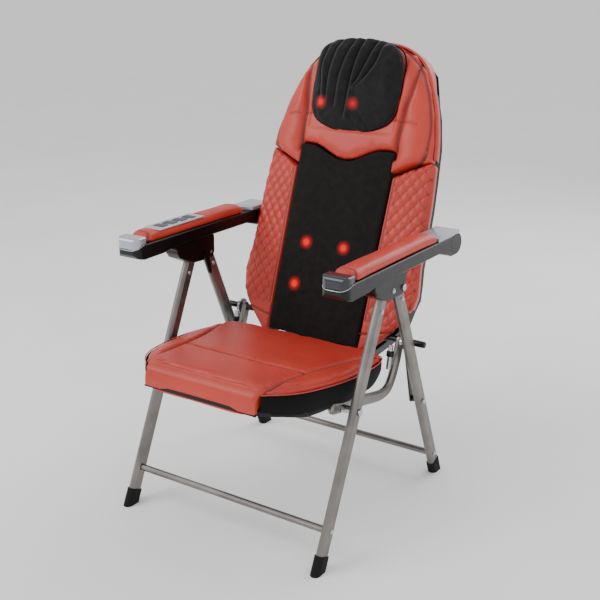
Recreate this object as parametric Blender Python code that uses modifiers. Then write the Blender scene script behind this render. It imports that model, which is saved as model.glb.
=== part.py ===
"""A folding, reclining massage armchair in metres: +Z up, the sitter faces -Y and their left is +X."""

import math

import bmesh
import bpy
from mathutils import Matrix, Vector

# Driving dimensions. Y runs back from the top of the front legs, Z up from the floor.
CENTRE_Y = 0.06296  # the middle of the chair's length, which ends up at Y = 0
GAP = 0.0003  # between touching pieces
PIN_GAP = 0.0003  # round a pin in its hole

LEG_X = 0.273
LEG_WIDTH, LEG_DEPTH, LEG_WALL = 0.035, 0.019, 0.0016
LEG_TOP_Z = 0.597
FRONT_FOOT_Y, REAR_FOOT_Y = -0.271, 0.302
FRONT_TOP_Y, REAR_TOP_Y = 0.0, 0.041
CAP_HEIGHT, CAP_WALL, CAP_FLOOR = 0.038, 0.003, 0.020
CROSSBAR_RADIUS = 0.00825
FRONT_BAR_Z, REAR_BAR_Z = 0.085, 0.060

REAR_PIVOT = (0.0464, 0.5743)  # rear leg on its hub
SEAT_PIVOT = (-0.1205, 0.3276)  # seat on the front leg
HINGE = (0.160, 0.400)  # hinge bar at the back of the seat
LINK_PIVOT = (0.1979, 0.238)  # link on the rear leg
ARM_PIVOT = (0.278, 0.628)  # armrest on the back
LEVER_PIVOT = (0.020, 0.571)
LEVER_X = (0.2465, 0.2510)

HUB_X = (0.252, 0.294)
HUB_TOP_Z = 0.6175
LINK_X = (0.2485, 0.2525)
DISC_X = (0.2405, 0.2465)
RAIL_X = (0.2245, 0.2395)
TUBE_X = (0.185, 0.197)
ARM_X = (0.2475, 0.311)
NOSE_Y, NOSE_RADIUS = -0.2345, 0.020
ARM_TOP_Z = 0.648
PAD_TOP_Z = 0.666
PIN_RADIUS = 0.005
BAR_RADIUS, BAR_REACH = 0.008, 0.300

BACK_LEAN = math.radians(20.17)
BACK_FOOT = (0.1195, 0.373)  # bottom of the mesh panel
BACK_DEPTH, SHELL_INSET = 0.094, 0.014
MESH_HALF_BOTTOM, MESH_HALF_TOP, MESH_HEIGHT = 0.131, 0.137, 0.484
CARRIAGE_V, ROCKER_REACH, ROLLER_RADIUS, ROLLER_U = 0.190, 0.055, 0.017, 0.051
NECK_V, NECK_U = 0.600, 0.048

SEAT_TILT = math.radians(4.8)
SEAT_FRONT = (-0.310, 0.417)
CUSHION_DEPTH = 0.046

SIDES = (1, -1)
SIDE_NAMES = {1: "left", -1: "right"}


def clear_scene():
    for leftover in list(bpy.data.objects):
        bpy.data.objects.remove(leftover)


def collection(name):
    made = bpy.data.collections.new(name)
    bpy.context.scene.collection.children.link(made)
    return made


clear_scene()
CHAIR = collection("massage_armchair")
CUTTERS = collection("cutters")
MATERIALS = {}
BODIES = {}


def material(name, hex_colour, roughness, metallic=0.0):
    """A Principled material whose colour is given as sRGB hex."""
    made = bpy.data.materials.new(name)
    made.use_nodes = True
    shader = made.node_tree.nodes["Principled BSDF"]
    channels = [int(hex_colour[i : i + 2], 16) / 255 for i in (0, 2, 4)]
    linear = [c / 12.92 if c <= 0.04045 else ((c + 0.055) / 1.055) ** 2.4 for c in channels]
    shader.inputs["Base Color"].default_value = (*linear, 1)
    shader.inputs["Roughness"].default_value = roughness
    shader.inputs["Metallic"].default_value = metallic
    MATERIALS[name] = made


def body(name, pivot=(0.0, 0.0), parent=None):
    """An empty on a moving body's axis. Its pieces hang from it."""
    empty = bpy.data.objects.new("body_" + name, None)
    CHAIR.objects.link(empty)
    place = Vector((0, pivot[0], pivot[1]))
    if parent:
        empty.parent = BODIES[parent]
        empty.matrix_parent_inverse = Matrix.Translation(-Vector(BODIES[parent]["place"]))
    empty["place"] = place
    empty.location = place
    BODIES[name] = empty


def hang(piece, body_name, material_name):
    """Puts a piece in its body, where it stands, with its material."""
    CHAIR.objects.link(piece)
    empty = BODIES[body_name]
    piece.parent = empty
    piece.matrix_parent_inverse = Matrix.Translation(-Vector(empty["place"]))
    piece.data.materials.clear()
    piece.data.materials.append(MATERIALS[material_name])
    return piece


def helper(piece):
    """Keeps a cutter out of the model."""
    CUTTERS.objects.link(piece)
    piece.hide_render = True
    piece.display_type = "WIRE"
    return piece


# SIDE draws an outline in (Y, Z) and grows along X, BACK draws on the leaning back, SEAT on the cushion.
SIDE = Matrix(((0, 0, 1, 0), (1, 0, 0, 0), (0, 1, 0, 0), (0, 0, 0, 1)))
MIRRORED_SIDE = Matrix(((0, 0, -1, 0), (1, 0, 0, 0), (0, -1, 0, 0), (0, 0, 0, 1)))
BACK = Matrix.Translation((0, *BACK_FOOT)) @ Matrix.Rotation(math.pi / 2 - BACK_LEAN, 4, "X")
SEAT = Matrix.Translation((0, *SEAT_FRONT)) @ Matrix.Rotation(-SEAT_TILT, 4, "X")


def on_back(u, v, n):
    """A point of the back: across, up along it, and forward of the mesh panel."""
    return BACK @ Vector((u, v, n))


def in_side_view(frame, y, z):
    point = frame @ Vector((0, y, z))
    return point.y, point.z


def catmull_rom(t, p, q, r, s):
    """The value at t of a smooth curve between q and r."""
    bend, twist = 2 * p - 5 * q + 4 * r - s, 3 * q - p - 3 * r + s
    return 0.5 * (2 * q + (r - p) * t + bend * t**2 + twist * t**3)


def smooth(points, steps=3):
    """A Catmull-Rom curve through points, open at its ends."""
    ends = [points[0], *points, points[-1]]
    curve = []
    for a, b, c, d in zip(ends, ends[1:], ends[2:], ends[3:]):
        for step in range(steps):
            t = step / steps
            curve.append(tuple(catmull_rom(t, *values) for values in zip(a, b, c, d)))
    return [*curve, tuple(points[-1])]


def arc(centre, radius, start, end, steps=6):
    angles = [math.radians(start + (end - start) * i / steps) for i in range(steps + 1)]
    return [(centre[0] + radius * math.cos(a), centre[1] + radius * math.sin(a)) for a in angles]


def strap(start, end, start_radius, end_radius, steps=6):
    """The outline of a flat bar with round ends."""
    heading = math.degrees(math.atan2(end[1] - start[1], end[0] - start[0]))
    first = arc(start, start_radius, heading + 90, heading + 270, steps)
    return first + arc(end, end_radius, heading - 90, heading + 90, steps)


def ribbon(path, width):
    """The outline of a strip of even width along a path, with round ends."""
    left, right = [], []
    for i, point in enumerate(path):
        before, after = path[max(i - 1, 0)], path[min(i + 1, len(path) - 1)]
        along = Vector((after[0] - before[0], after[1] - before[1])).normalized() * (width / 2)
        left.append((point[0] - along.y, point[1] + along.x))
        right.append((point[0] + along.y, point[1] - along.x))
    return left, right


def round_ribbon(path, width):
    left, right = ribbon(path, width)
    (x0, y0), (x1, y1) = path[0], path[1]
    first = math.degrees(math.atan2(y1 - y0, x1 - x0))
    (x0, y0), (x1, y1) = path[-2], path[-1]
    last = math.degrees(math.atan2(y1 - y0, x1 - x0))
    head = arc(path[-1], width / 2, last - 90, last + 90, 6)[1:-1]
    tail = arc(path[0], width / 2, first + 90, first + 270, 6)[1:-1]
    return right + head + left[::-1] + tail


def mesh_object(name, mesh):
    data = bpy.data.meshes.new(name)
    mesh.to_mesh(data)
    mesh.free()
    return bpy.data.objects.new(name, data)


def flat_piece(name, outline, low, high, frame):
    """A filled outline from low to high along the frame's Z, as a closed mesh in place."""
    curve = bpy.data.curves.new(name, "CURVE")
    curve.dimensions = "2D"
    curve.fill_mode = "BOTH"
    curve.extrude = abs(high - low) / 2
    spline = curve.splines.new("POLY")
    spline.points.add(len(outline) - 1)
    for point, (x, y) in zip(spline.points, outline):
        point.co = (x, y, 0, 1)
    spline.use_cyclic_u = True
    guide = bpy.data.objects.new(name, curve)
    bpy.context.scene.collection.objects.link(guide)
    data = bpy.data.meshes.new_from_object(guide.evaluated_get(bpy.context.evaluated_depsgraph_get()))
    bpy.data.objects.remove(guide)
    mesh = bmesh.new()
    mesh.from_mesh(data)
    bpy.data.meshes.remove(data)
    bmesh.ops.remove_doubles(mesh, verts=mesh.verts, dist=1e-6)
    bmesh.ops.dissolve_limit(mesh, angle_limit=math.radians(0.5), verts=mesh.verts, edges=mesh.edges)
    bmesh.ops.transform(mesh, matrix=frame @ Matrix.Translation((0, 0, (low + high) / 2)), verts=mesh.verts)
    bmesh.ops.recalc_face_normals(mesh, faces=mesh.faces)
    return mesh_object(name, mesh)


def towards(start, end):
    """A frame at start whose Z points to end, with X kept as near world X as it can be."""
    z = (Vector(end) - Vector(start)).normalized()
    x = Vector((1, 0, 0)) if abs(z.x) < 0.9 else Vector((0, 1, 0))
    y = z.cross(x).normalized()
    x = y.cross(z)
    turn = Matrix((x, y, z)).transposed().to_4x4()
    return Matrix.Translation(start) @ turn


def rod(name, start, end, radius, segments=16):
    """A plain cylinder between two points, as a closed mesh in place."""
    mesh = bmesh.new()
    length = (Vector(end) - Vector(start)).length
    lift = Matrix.Translation((0, 0, length / 2))
    bmesh.ops.create_cone(
        mesh, cap_ends=True, segments=segments, radius1=radius, radius2=radius, depth=length,
        matrix=towards(start, end) @ lift,
    )
    return mesh_object(name, mesh)


def cross_rod(name, centre, low, high, radius, segments=16):
    """A cylinder along X at (Y, Z)."""
    return rod(name, (low, *centre), (high, *centre), radius, segments)


def ball(name, centre, radius):
    mesh = bmesh.new()
    place = Matrix.Translation(centre)
    bmesh.ops.create_uvsphere(mesh, u_segments=10, v_segments=7, radius=radius, matrix=place)
    return mesh_object(name, mesh)


def turned(name, profile, frame, steps=16):
    """A profile of (radius, height), from its top down, turned about the frame's Z."""
    data = bpy.data.meshes.new(name)
    data.from_pydata([(r, 0, h) for r, h in profile], [(i, i + 1) for i in range(len(profile) - 1)], [])
    piece = bpy.data.objects.new(name, data)
    piece.matrix_basis = frame
    screw = piece.modifiers.new("turn", "SCREW")
    screw.steps = screw.render_steps = steps
    screw.use_merge_vertices = True
    screw.merge_threshold = 1e-5
    return piece


def bevel(piece, width, segments=1):
    rounding = piece.modifiers.new("rounding", "BEVEL")
    rounding.width = width
    rounding.segments = segments
    rounding.limit_method = "ANGLE"
    rounding.angle_limit = math.radians(35)
    return piece


def boolean(piece, other, operation="DIFFERENCE"):
    helper(other)
    change = piece.modifiers.new(operation.lower(), "BOOLEAN")
    change.operation = operation
    change.object = other
    return piece


def bore(piece, centre, low, high, radius):
    """A round hole along X at (Y, Z)."""
    return boolean(piece, cross_rod(piece.name + "_hole", centre, low, high, radius, 16))


def mirrored_span(side, span):
    """A span of X on one side of the chair, low end first."""
    return tuple(sorted((side * span[0], side * span[1])))


def side_frame(side):
    """The frame of a turned piece that lies along X and whose top points outwards."""
    return SIDE if side > 0 else MIRRORED_SIDE


def pin(name, centre, profile, side):
    """A turned piece along X: profile heights are distances from the chair's middle."""
    return turned(name, profile, Matrix.Translation((0, *centre)) @ side_frame(side))


# Legs -------------------------------------------------------------------------------------------------------


def leg_y(foot_y, top_y, z):
    return foot_y + (top_y - foot_y) * z / LEG_TOP_Z


def leg_frame(foot_y, top_y, side):
    """Stands on the floor under a leg with Z up the leg and Y across its wide side."""
    return towards((side * LEG_X, foot_y, 0), (side * LEG_X, top_y, LEG_TOP_Z))


def oval_ring(mesh, width, depth, height=0.0):
    """The flat-oval section of a leg, its wide side along Y."""
    ring = bmesh.ops.create_circle(
        mesh, radius=depth / 2, segments=12, matrix=Matrix.Rotation(math.pi / 12, 4, "Z")
    )["verts"]
    for corner in ring:
        corner.co.y += math.copysign((width - depth) / 2, corner.co.y)
        corner.co.z = height
    return ring


def ring_edges(mesh, ring):
    kept = set(ring)
    return [edge for edge in mesh.edges if edge.verts[0] in kept and edge.verts[1] in kept]


def extruded(mesh, ring):
    """New corners drawn out of a ring, joined to it by a wall."""
    grown = bmesh.ops.extrude_edge_only(mesh, edges=ring_edges(mesh, ring))["geom"]
    return [item for item in grown if isinstance(item, bmesh.types.BMVert)]


def leg_tube(name, foot_y, top_y, side, reach):
    """The hollow leg, from inside its foot to reach metres along it."""
    mesh = bmesh.new()
    ring = oval_ring(mesh, LEG_WIDTH, LEG_DEPTH, CAP_FLOOR + GAP)
    for corner in extruded(mesh, ring):
        corner.co.z = reach
    bmesh.ops.recalc_face_normals(mesh, faces=mesh.faces)
    bmesh.ops.transform(mesh, matrix=leg_frame(foot_y, top_y, side), verts=mesh.verts)
    tube = mesh_object(name, mesh)
    wall = tube.modifiers.new("wall", "SOLIDIFY")
    wall.thickness = LEG_WALL
    wall.offset = -1
    return tube


def leg_socket(name, foot_y, top_y, side, low, high):
    """A solid flat oval a little larger than the leg, to cut its seat in the hub."""
    mesh = bmesh.new()
    ring = oval_ring(mesh, LEG_WIDTH + 4 * GAP, LEG_DEPTH + 4 * GAP, low)
    top = extruded(mesh, ring)
    for corner in top:
        corner.co.z = high
    for end in (ring, top):
        bmesh.ops.contextual_create(mesh, geom=ring_edges(mesh, end))
    bmesh.ops.recalc_face_normals(mesh, faces=mesh.faces)
    bmesh.ops.transform(mesh, matrix=leg_frame(foot_y, top_y, side), verts=mesh.verts)
    return mesh_object(name, mesh)


def foot(name, foot_y, top_y, side):
    """A rubber cap on the end of a leg, its sole level with the floor."""
    frame = leg_frame(foot_y, top_y, side)
    up = frame.to_3x3() @ Vector((0, 0, 1))
    mesh = bmesh.new()
    outer = oval_ring(mesh, LEG_WIDTH + 2 * CAP_WALL, LEG_DEPTH + 2 * CAP_WALL, CAP_HEIGHT)
    sole = extruded(mesh, outer)
    mouth = extruded(mesh, outer)
    shrink = (LEG_DEPTH + 4 * GAP) / (LEG_DEPTH + 2 * CAP_WALL)
    for corner in mouth:
        middle = math.copysign((LEG_WIDTH - LEG_DEPTH) / 2, corner.co.y)
        corner.co.y = middle + (corner.co.y - middle) * shrink
        corner.co.x *= shrink
    pocket = extruded(mesh, mouth)
    for corner in pocket:
        corner.co.z = CAP_FLOOR
    bmesh.ops.transform(mesh, matrix=frame, verts=mesh.verts)
    for corner in sole:
        corner.co -= up * (corner.co.z / up.z)
        corner.co.z = 0.0
    for end in (sole, pocket):
        bmesh.ops.contextual_create(mesh, geom=ring_edges(mesh, end))
    bmesh.ops.recalc_face_normals(mesh, faces=mesh.faces)
    return mesh_object(name, mesh)


def crossbar(name, foot_y, top_y, z):
    """The round bar between the two legs of a frame."""
    reach = LEG_X - LEG_DEPTH / 2 - GAP
    return cross_rod(name, (leg_y(foot_y, top_y, z), z), -reach, reach, CROSSBAR_RADIUS)


def hub(side):
    """The moulding at the top of a leg pair: the front leg is fixed, the rear leg turns in its slot."""
    outline = [
        (-0.112, HUB_TOP_Z), (-0.085, 0.607), (-0.082, 0.595), (-0.072, 0.582), (-0.026, 0.560),
        *arc((0.040, 0.578), 0.021, 260, 360, 6), (0.061, HUB_TOP_Z),
    ]
    piece = flat_piece("hub_" + SIDE_NAMES[side], outline, *mirrored_span(side, HUB_X), SIDE)
    bevel(piece, 0.0025)
    boolean(piece, leg_socket(piece.name + "_socket", FRONT_FOOT_Y, FRONT_TOP_Y, side, 0.57, 0.653))
    slot = [(0.075, 0.604), (0.027, 0.604), (0.010, 0.550), (0.075, 0.550)]
    half_slot = LEG_DEPTH / 2 + 0.001
    slot_x = mirrored_span(side, (LEG_X - half_slot, LEG_X + half_slot))
    boolean(piece, flat_piece(piece.name + "_slot", slot, *slot_x, SIDE))
    bore(piece, REAR_PIVOT, *mirrored_span(side, (0.250, 0.296)), PIN_RADIUS + PIN_GAP)
    bore(piece, LEVER_PIVOT, *mirrored_span(side, (0.251, 0.258)), 0.004 + PIN_GAP)
    return piece


def front_frame():
    for side in SIDES:
        word = SIDE_NAMES[side]
        leg = leg_tube("front_leg_" + word, FRONT_FOOT_Y, FRONT_TOP_Y, side, 0.650)
        bore(leg, SEAT_PIVOT, *mirrored_span(side, (0.255, 0.291)), PIN_RADIUS + PIN_GAP)
        hang(leg, "front_frame", "satin_aluminium")
        hang(foot("front_foot_" + word, FRONT_FOOT_Y, FRONT_TOP_Y, side), "front_frame", "rubber")
        hang(hub(side), "front_frame", "black_plastic")
        outer = HUB_X[1] + GAP
        profile = [(0, outer + 0.0035), (0.008, outer + 0.0035), (0.008, outer), (PIN_RADIUS, outer),
                   (PIN_RADIUS, HUB_X[0] + 0.0005), (0, HUB_X[0] + 0.0005)]
        hang(pin("rear_leg_pin_" + word, REAR_PIVOT, profile, side), "front_frame", "steel")
        inner_face, outer_face = LEG_X - LEG_DEPTH / 2 - GAP, LEG_X + LEG_DEPTH / 2 + GAP
        spacer = RAIL_X[1] + GAP
        profile = [(0, outer_face + 0.004), (0.008, outer_face + 0.004), (0.008, outer_face),
                   (PIN_RADIUS, outer_face), (PIN_RADIUS, inner_face), (0.009, inner_face), (0.009, spacer),
                   (PIN_RADIUS, spacer), (PIN_RADIUS, RAIL_X[0] - 0.0035), (0, RAIL_X[0] - 0.0035)]
        hang(pin("seat_pivot_pin_" + word, SEAT_PIVOT, profile, side), "front_frame", "steel")
    hang(crossbar("front_crossbar", FRONT_FOOT_Y, FRONT_TOP_Y, FRONT_BAR_Z), "front_frame", "satin_aluminium")


def rear_frame():
    slope = Vector((REAR_TOP_Y - REAR_FOOT_Y, LEG_TOP_Z)).normalized()
    reach = (REAR_PIVOT[1] + 0.012) / slope.y
    for side in SIDES:
        word = SIDE_NAMES[side]
        leg = leg_tube("rear_leg_" + word, REAR_FOOT_Y, REAR_TOP_Y, side, reach)
        bore(leg, REAR_PIVOT, *mirrored_span(side, (0.255, 0.291)), PIN_RADIUS + PIN_GAP)
        bore(leg, LINK_PIVOT, *mirrored_span(side, (0.255, 0.291)), 0.004 + PIN_GAP)
        hang(leg, "rear_frame", "satin_aluminium")
        hang(foot("rear_foot_" + word, REAR_FOOT_Y, REAR_TOP_Y, side), "rear_frame", "rubber")
        outer_face = LEG_X + LEG_DEPTH / 2 + GAP
        profile = [(0, outer_face + 0.0035), (0.007, outer_face + 0.0035), (0.007, outer_face),
                   (0.004, outer_face), (0.004, 0.2600), (0, 0.2600)]
        hang(pin("link_bolt_" + word, LINK_PIVOT, profile, side), "rear_frame", "steel")
    hang(crossbar("rear_crossbar", REAR_FOOT_Y, REAR_TOP_Y, REAR_BAR_Z), "rear_frame", "satin_aluminium")


def links():
    """Flat bars from the hinge bar down to the rear legs. Each ends in a boss beside its bolt."""
    for side in SIDES:
        outline = strap(HINGE, LINK_PIVOT, 0.0135, 0.0095)
        link = flat_piece("link_" + SIDE_NAMES[side], outline, *mirrored_span(side, LINK_X), SIDE)
        boss_span = mirrored_span(side, (0.2505, 0.2592))
        boss = cross_rod(link.name + "_boss", LINK_PIVOT, *boss_span, 0.007, 16)
        boolean(link, boss, "UNION")
        bore(link, HINGE, *mirrored_span(side, (0.247, 0.254)), BAR_RADIUS + PIN_GAP)
        hang(link, "links", "black_steel")


# Seat -------------------------------------------------------------------------------------------------------


def seat_plan(front, wide, back, grow=0.0):
    """Half of the seat's plan from front to back, closed by its mirror image."""
    right = smooth([(0.0, front), (0.11, front + 0.002), (0.160, front + 0.014), (0.186, front + 0.050),
                    (0.222, 0.085), (wide, 0.200), (wide, 0.300), (wide - 0.010, back - 0.045),
                    (wide - 0.028, back - 0.008), (0.150, back), (0.0, back)], 2)
    half = [(max(x + grow * (x > 0.02), 0), y) for x, y in right]
    return half + [(-x, y) for x, y in half[-2:0:-1]]


def seat():
    cushion = flat_piece("seat_cushion", seat_plan(-0.032, 0.246, 0.412), -CUSHION_DEPTH, 0, SEAT)
    hang(bevel(cushion, 0.014, 2), "seat", "coral_leather")

    def depth_line(depths, lift=0.0):
        return [in_side_view(SEAT, along, depth + lift) for along, depth in depths]

    under = [(-0.006, -0.056), (0.10, -0.070), (0.22, -0.079), (0.345, -0.080), (0.385, -0.062),
             (0.400, -0.056)]
    top = -CUSHION_DEPTH - GAP
    pan = flat_piece("seat_pan", seat_plan(-0.018, 0.2205, 0.404, -0.006), -0.085, top, SEAT)
    belly = depth_line([(-0.03, -0.040), (-0.03, -0.052), *under, (0.42, -0.050), (0.42, -0.040)])
    boolean(pan, flat_piece("seat_pan_belly", belly, -0.24, 0.24, SIDE), "INTERSECT")
    floor = [(along, depth + 0.004) for along, depth in under[1:4]]
    pocket = depth_line([(0.07, -0.040), *floor, (0.375, -0.062), (0.375, -0.040)])
    boolean(pan, flat_piece("seat_pan_pocket", pocket, -0.195, 0.195, SIDE))
    hang(pan, "seat", "black_plastic")

    path = smooth([(-0.150, 0.3345), SEAT_PIVOT, (0.000, 0.303), (0.062, 0.2895), (0.098, 0.2925),
                   (0.119, 0.311), (0.140, 0.347), HINGE], 2)
    for side in SIDES:
        outline, span = round_ribbon(path, 0.026), mirrored_span(side, RAIL_X)
        rail = flat_piece("seat_rail_" + SIDE_NAMES[side], outline, *span, SIDE)
        bevel(rail, 0.0045)
        bore(rail, SEAT_PIVOT, *mirrored_span(side, (0.222, 0.242)), PIN_RADIUS + PIN_GAP)
        bore(rail, HINGE, *mirrored_span(side, (0.222, 0.242)), BAR_RADIUS + PIN_GAP)
        hang(rail, "seat", "satin_aluminium")


def hinge_bar():
    bar = cross_rod("hinge_bar", HINGE, -BAR_REACH, BAR_REACH, BAR_RADIUS)
    hang(bevel(bar, 0.003, 2), "hinge_bar", "black_steel")
    teeth = 18
    for side in SIDES:
        outline = []
        for i in range(2 * teeth):
            angle = math.pi * i / teeth
            reach = 0.0205 if i % 2 else 0.0190
            outline.append((HINGE[0] + reach * math.cos(angle), HINGE[1] + reach * math.sin(angle)))
        disc = flat_piece("recline_disc_" + SIDE_NAMES[side], outline, *mirrored_span(side, DISC_X), SIDE)
        bore(disc, HINGE, *mirrored_span(side, (0.238, 0.249)), BAR_RADIUS + PIN_GAP)
        hang(disc, "hinge_bar", "steel")


# Back -------------------------------------------------------------------------------------------------------

BACK_EDGE = [
    (0.120, -0.030), (0.148, -0.018), (0.183, 0.018), (0.214, 0.052), (0.2385, 0.090), (0.2525, 0.140),
    (0.2500, 0.180), (0.2455, 0.220), (0.2440, 0.290), (0.2425, 0.360), (0.2370, 0.440), (0.2300, 0.520),
    (0.2140, 0.595), (0.1940, 0.650), (0.1690, 0.698), (0.1350, 0.733), (0.0800, 0.757), (0.0000, 0.764),
]


def edge_u(v):
    """Half the back's width at a height."""
    for (u0, v0), (u1, v1) in zip(BACK_EDGE, BACK_EDGE[1:]):
        if v0 <= v <= v1:
            return u0 + (u1 - u0) * (v - v0) / (v1 - v0)
    return 0.0


def back_edge(inset=0.0, low=BACK_EDGE[0][1], high=BACK_EDGE[-1][1]):
    """The right-hand outline of the back from low to high, drawn in by inset."""
    between = [(u, v) for u, v in BACK_EDGE if low < v < high]
    path = [(edge_u(low), low), *between, (edge_u(high), high)]
    left, _ = ribbon(path, 2 * inset)
    return [(max(u, 0.0), v) for u, v in left]


def mesh_half(v):
    return MESH_HALF_BOTTOM + (MESH_HALF_TOP - MESH_HALF_BOTTOM) * v / MESH_HEIGHT


def mesh_top(u):
    """The wavy top of the mesh panel, lowest in the middle."""
    dip = 0.5 * (1 + math.cos(math.pi * min(abs(u) / 0.110, 1)))
    return MESH_HEIGHT - 0.035 * dip


def mirror_outline(half):
    """Closes a half outline that starts and ends near the middle."""
    return half + [(-u, v) for u, v in half[::-1] if u > 1e-6]


def back_frame():
    edge = [*back_edge(SHELL_INSET + 0.004, high=0.600), *back_edge(0.002, low=0.700)]
    panel = flat_piece("back_panel", mirror_outline(edge), -BACK_DEPTH, -BACK_DEPTH + 0.004, BACK)
    hang(panel, "back", "black_plastic")
    ahead, behind = -0.046, -BACK_DEPTH + 0.004 + GAP
    foot_inset, foot_top, above_foot = 0.001, 0.062, 0.110
    outside, inside = [[*back_edge(foot_inset + wall, -0.0175, foot_top),
                        *back_edge(SHELL_INSET + wall, above_foot, 0.690)] for wall in (0, 0.004)]
    tube_path = smooth([HINGE, *[in_side_view(BACK, v, n) for v, n in (
        (0.066, -0.046), (0.100, -0.0605), (0.200, -0.0605), (0.400, -0.0605), (0.560, -0.0605))]], 3)
    for side in SIDES:
        word = SIDE_NAMES[side]
        outline = [(side * u, v) for u, v in outside + inside[::-1]]
        wall = flat_piece("shell_side_" + word, outline, behind, ahead, BACK)
        bore(wall, ARM_PIVOT, *mirrored_span(side, (0.220, 0.255)), 0.008 + PIN_GAP)
        hang(wall, "back", "black_plastic")
        outline, span = round_ribbon(tube_path, 0.020), mirrored_span(side, TUBE_X)
        tube = flat_piece("back_tube_" + word, outline, *span, SIDE)
        bore(tube, HINGE, *mirrored_span(side, (0.182, 0.200)), BAR_RADIUS + PIN_GAP)
        hang(tube, "back", "black_steel")
    inlet_v, inlet_n = 0.140, -0.0635
    centre = in_side_view(BACK, inlet_v, inlet_n)
    wall_u = edge_u(inlet_v) - SHELL_INSET
    bore(bpy.data.objects["shell_side_right"], centre, -wall_u - 0.004, -wall_u + 0.008, 0.0095 + PIN_GAP)
    profile = [(0.0065, wall_u + 0.0025), (0.0125, wall_u + 0.0025), (0.0125, wall_u + 0.0006),
               (0.0095, wall_u + 0.0006), (0.0095, wall_u - 0.012), (0, wall_u - 0.012)]
    hole = [(0, wall_u - 0.0085), (0.0065, wall_u - 0.0085)]
    hang(pin("power_inlet", centre, hole + profile, -1), "back", "black_plastic")


def cushions():
    """Plain solids for the upholstery: side bolsters, head section, mesh panel and neck pillow."""
    low, thick_from, seam_in, seam_out = -0.020, 0.106, 0.427, 0.474
    for side in SIDES:
        outer = back_edge(0.0, low, seam_out)
        outline = [(side * u, v) for u, v in
                   [*outer, (mesh_half(seam_in) + 0.0008, seam_in), (mesh_half(low) + 0.0008, low)]]
        bolster = flat_piece("bolster_" + SIDE_NAMES[side], outline, -0.0455, -0.003, BACK)
        bevel(bolster, 0.006)
        notch = [in_side_view(BACK, v, n) for v, n in
                 ((-0.05, -0.0125), (thick_from, -0.0125), (thick_from, -0.06), (-0.05, -0.06))]
        boolean(bolster, flat_piece(bolster.name + "_notch", notch, -0.3, 0.3, SIDE))
        hang(bolster, "back", "coral_leather")

    across = [MESH_HALF_TOP * (1 - i / 6) for i in range(7)]
    half = [(mesh_half(0.0), 0.0), *[(u, mesh_top(u)) for u in across]]
    mesh = flat_piece("mesh_panel", mirror_outline(half), -0.003, 0.002, BACK)
    hang(mesh, "back", "dark_mesh")

    edge = back_edge(0.0, seam_out + 0.002)[::-1]
    waist = mesh_half(seam_in) + 0.0012
    half = [*edge, (waist, seam_in + 0.002), (waist, mesh_top(waist) + 0.0008)]
    half += [(u, mesh_top(u) + 0.0008) for u in across[1:]]
    head = flat_piece("head_section", mirror_outline(half), -0.0455, 0.004, BACK)
    for side in SIDES:
        middle = side * NECK_U
        ends = [on_back(middle, NECK_V, depth) for depth in (-0.05, 0.01)]
        boolean(head, rod("neck_window", *ends, 0.028))
    hang(head, "back", "coral_leather")

    pillow_edge = smooth([(0.0, 0.757), (0.062, 0.751), (0.106, 0.733), (0.122, 0.700), (0.124, 0.640),
                          (0.122, 0.585), (0.100, 0.548), (0.045, 0.527), (0.0, 0.522)], 2)
    pillow = flat_piece("neck_pillow", mirror_outline(pillow_edge), 0.0045, 0.042, BACK)
    hang(bevel(pillow, 0.012, 2), "back", "charcoal_fabric")


def massage_unit():
    """A carriage on a lead screw with two rocking arms, and a kneading unit behind the neck pillow."""
    screw_n, shaft_n = -0.074, -0.041
    screw = rod("lead_screw", on_back(0, 0.075, screw_n), on_back(0, 0.520, screw_n), 0.004, 12)
    hang(screw, "back", "steel")
    block = [(-0.032, 0.155), (0.032, 0.155), (0.032, 0.225), (-0.032, 0.225)]
    carriage = bevel(flat_piece("massage_carriage", block, -0.086, -0.034, BACK), 0.004)
    tunnel = rod("screw_tunnel", on_back(0, 0.14, screw_n), on_back(0, 0.24, screw_n), 0.004 + PIN_GAP, 12)
    boolean(carriage, tunnel)
    shaft = on_back(0, CARRIAGE_V, shaft_n).yz
    boolean(carriage, cross_rod("rocker_shaft", shaft, -0.064, 0.064, 0.005), "UNION")
    hang(carriage, "massage_carriage", "black_plastic")
    for side in SIDES:
        word = SIDE_NAMES[side]
        u = side * ROLLER_U
        ends = [on_back(u, CARRIAGE_V + reach, -0.030) for reach in (-ROCKER_REACH, ROCKER_REACH)]
        rocker = rod("rocker_arm_" + word, *ends, 0.006, 16)
        for number, end in enumerate(ends):
            boolean(rocker, ball(f"roller_{number}", end, ROLLER_RADIUS), "UNION")
        boolean(rocker, cross_rod("rocker_eye", shaft, u - 0.006, u + 0.006, 0.011), "UNION")
        bore(rocker, shaft, u - 0.008, u + 0.008, 0.005 + PIN_GAP)
        hang(rocker, "rocker_" + word, "grey_plastic")

    unit = [(-0.090, 0.565), (0.090, 0.565), (0.090, 0.635), (-0.090, 0.635)]
    housing = bevel(flat_piece("neck_unit", unit, -0.086, -0.048, BACK), 0.004)
    for side in SIDES:
        middle = (side * NECK_U, NECK_V)
        ends = [on_back(*middle, depth) for depth in (-0.066, -0.040)]
        boolean(housing, rod("neck_bearing", *ends, 0.005 + PIN_GAP))
        ends = [on_back(*middle, depth) for depth in (-0.0475, -0.0340)]
        head = rod("neck_head_" + SIDE_NAMES[side], *ends, 0.021)
        boolean(head, rod("neck_shaft", on_back(*middle, -0.064), on_back(*middle, -0.045), 0.005), "UNION")
        knob = on_back(side * (NECK_U + 0.007), NECK_V, -0.024)
        boolean(head, ball("neck_knob", knob, 0.0135), "UNION")
        hang(head, "neck_head_" + SIDE_NAMES[side], "grey_plastic")
    hang(housing, "back", "black_plastic")


# Arms -------------------------------------------------------------------------------------------------------


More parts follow.
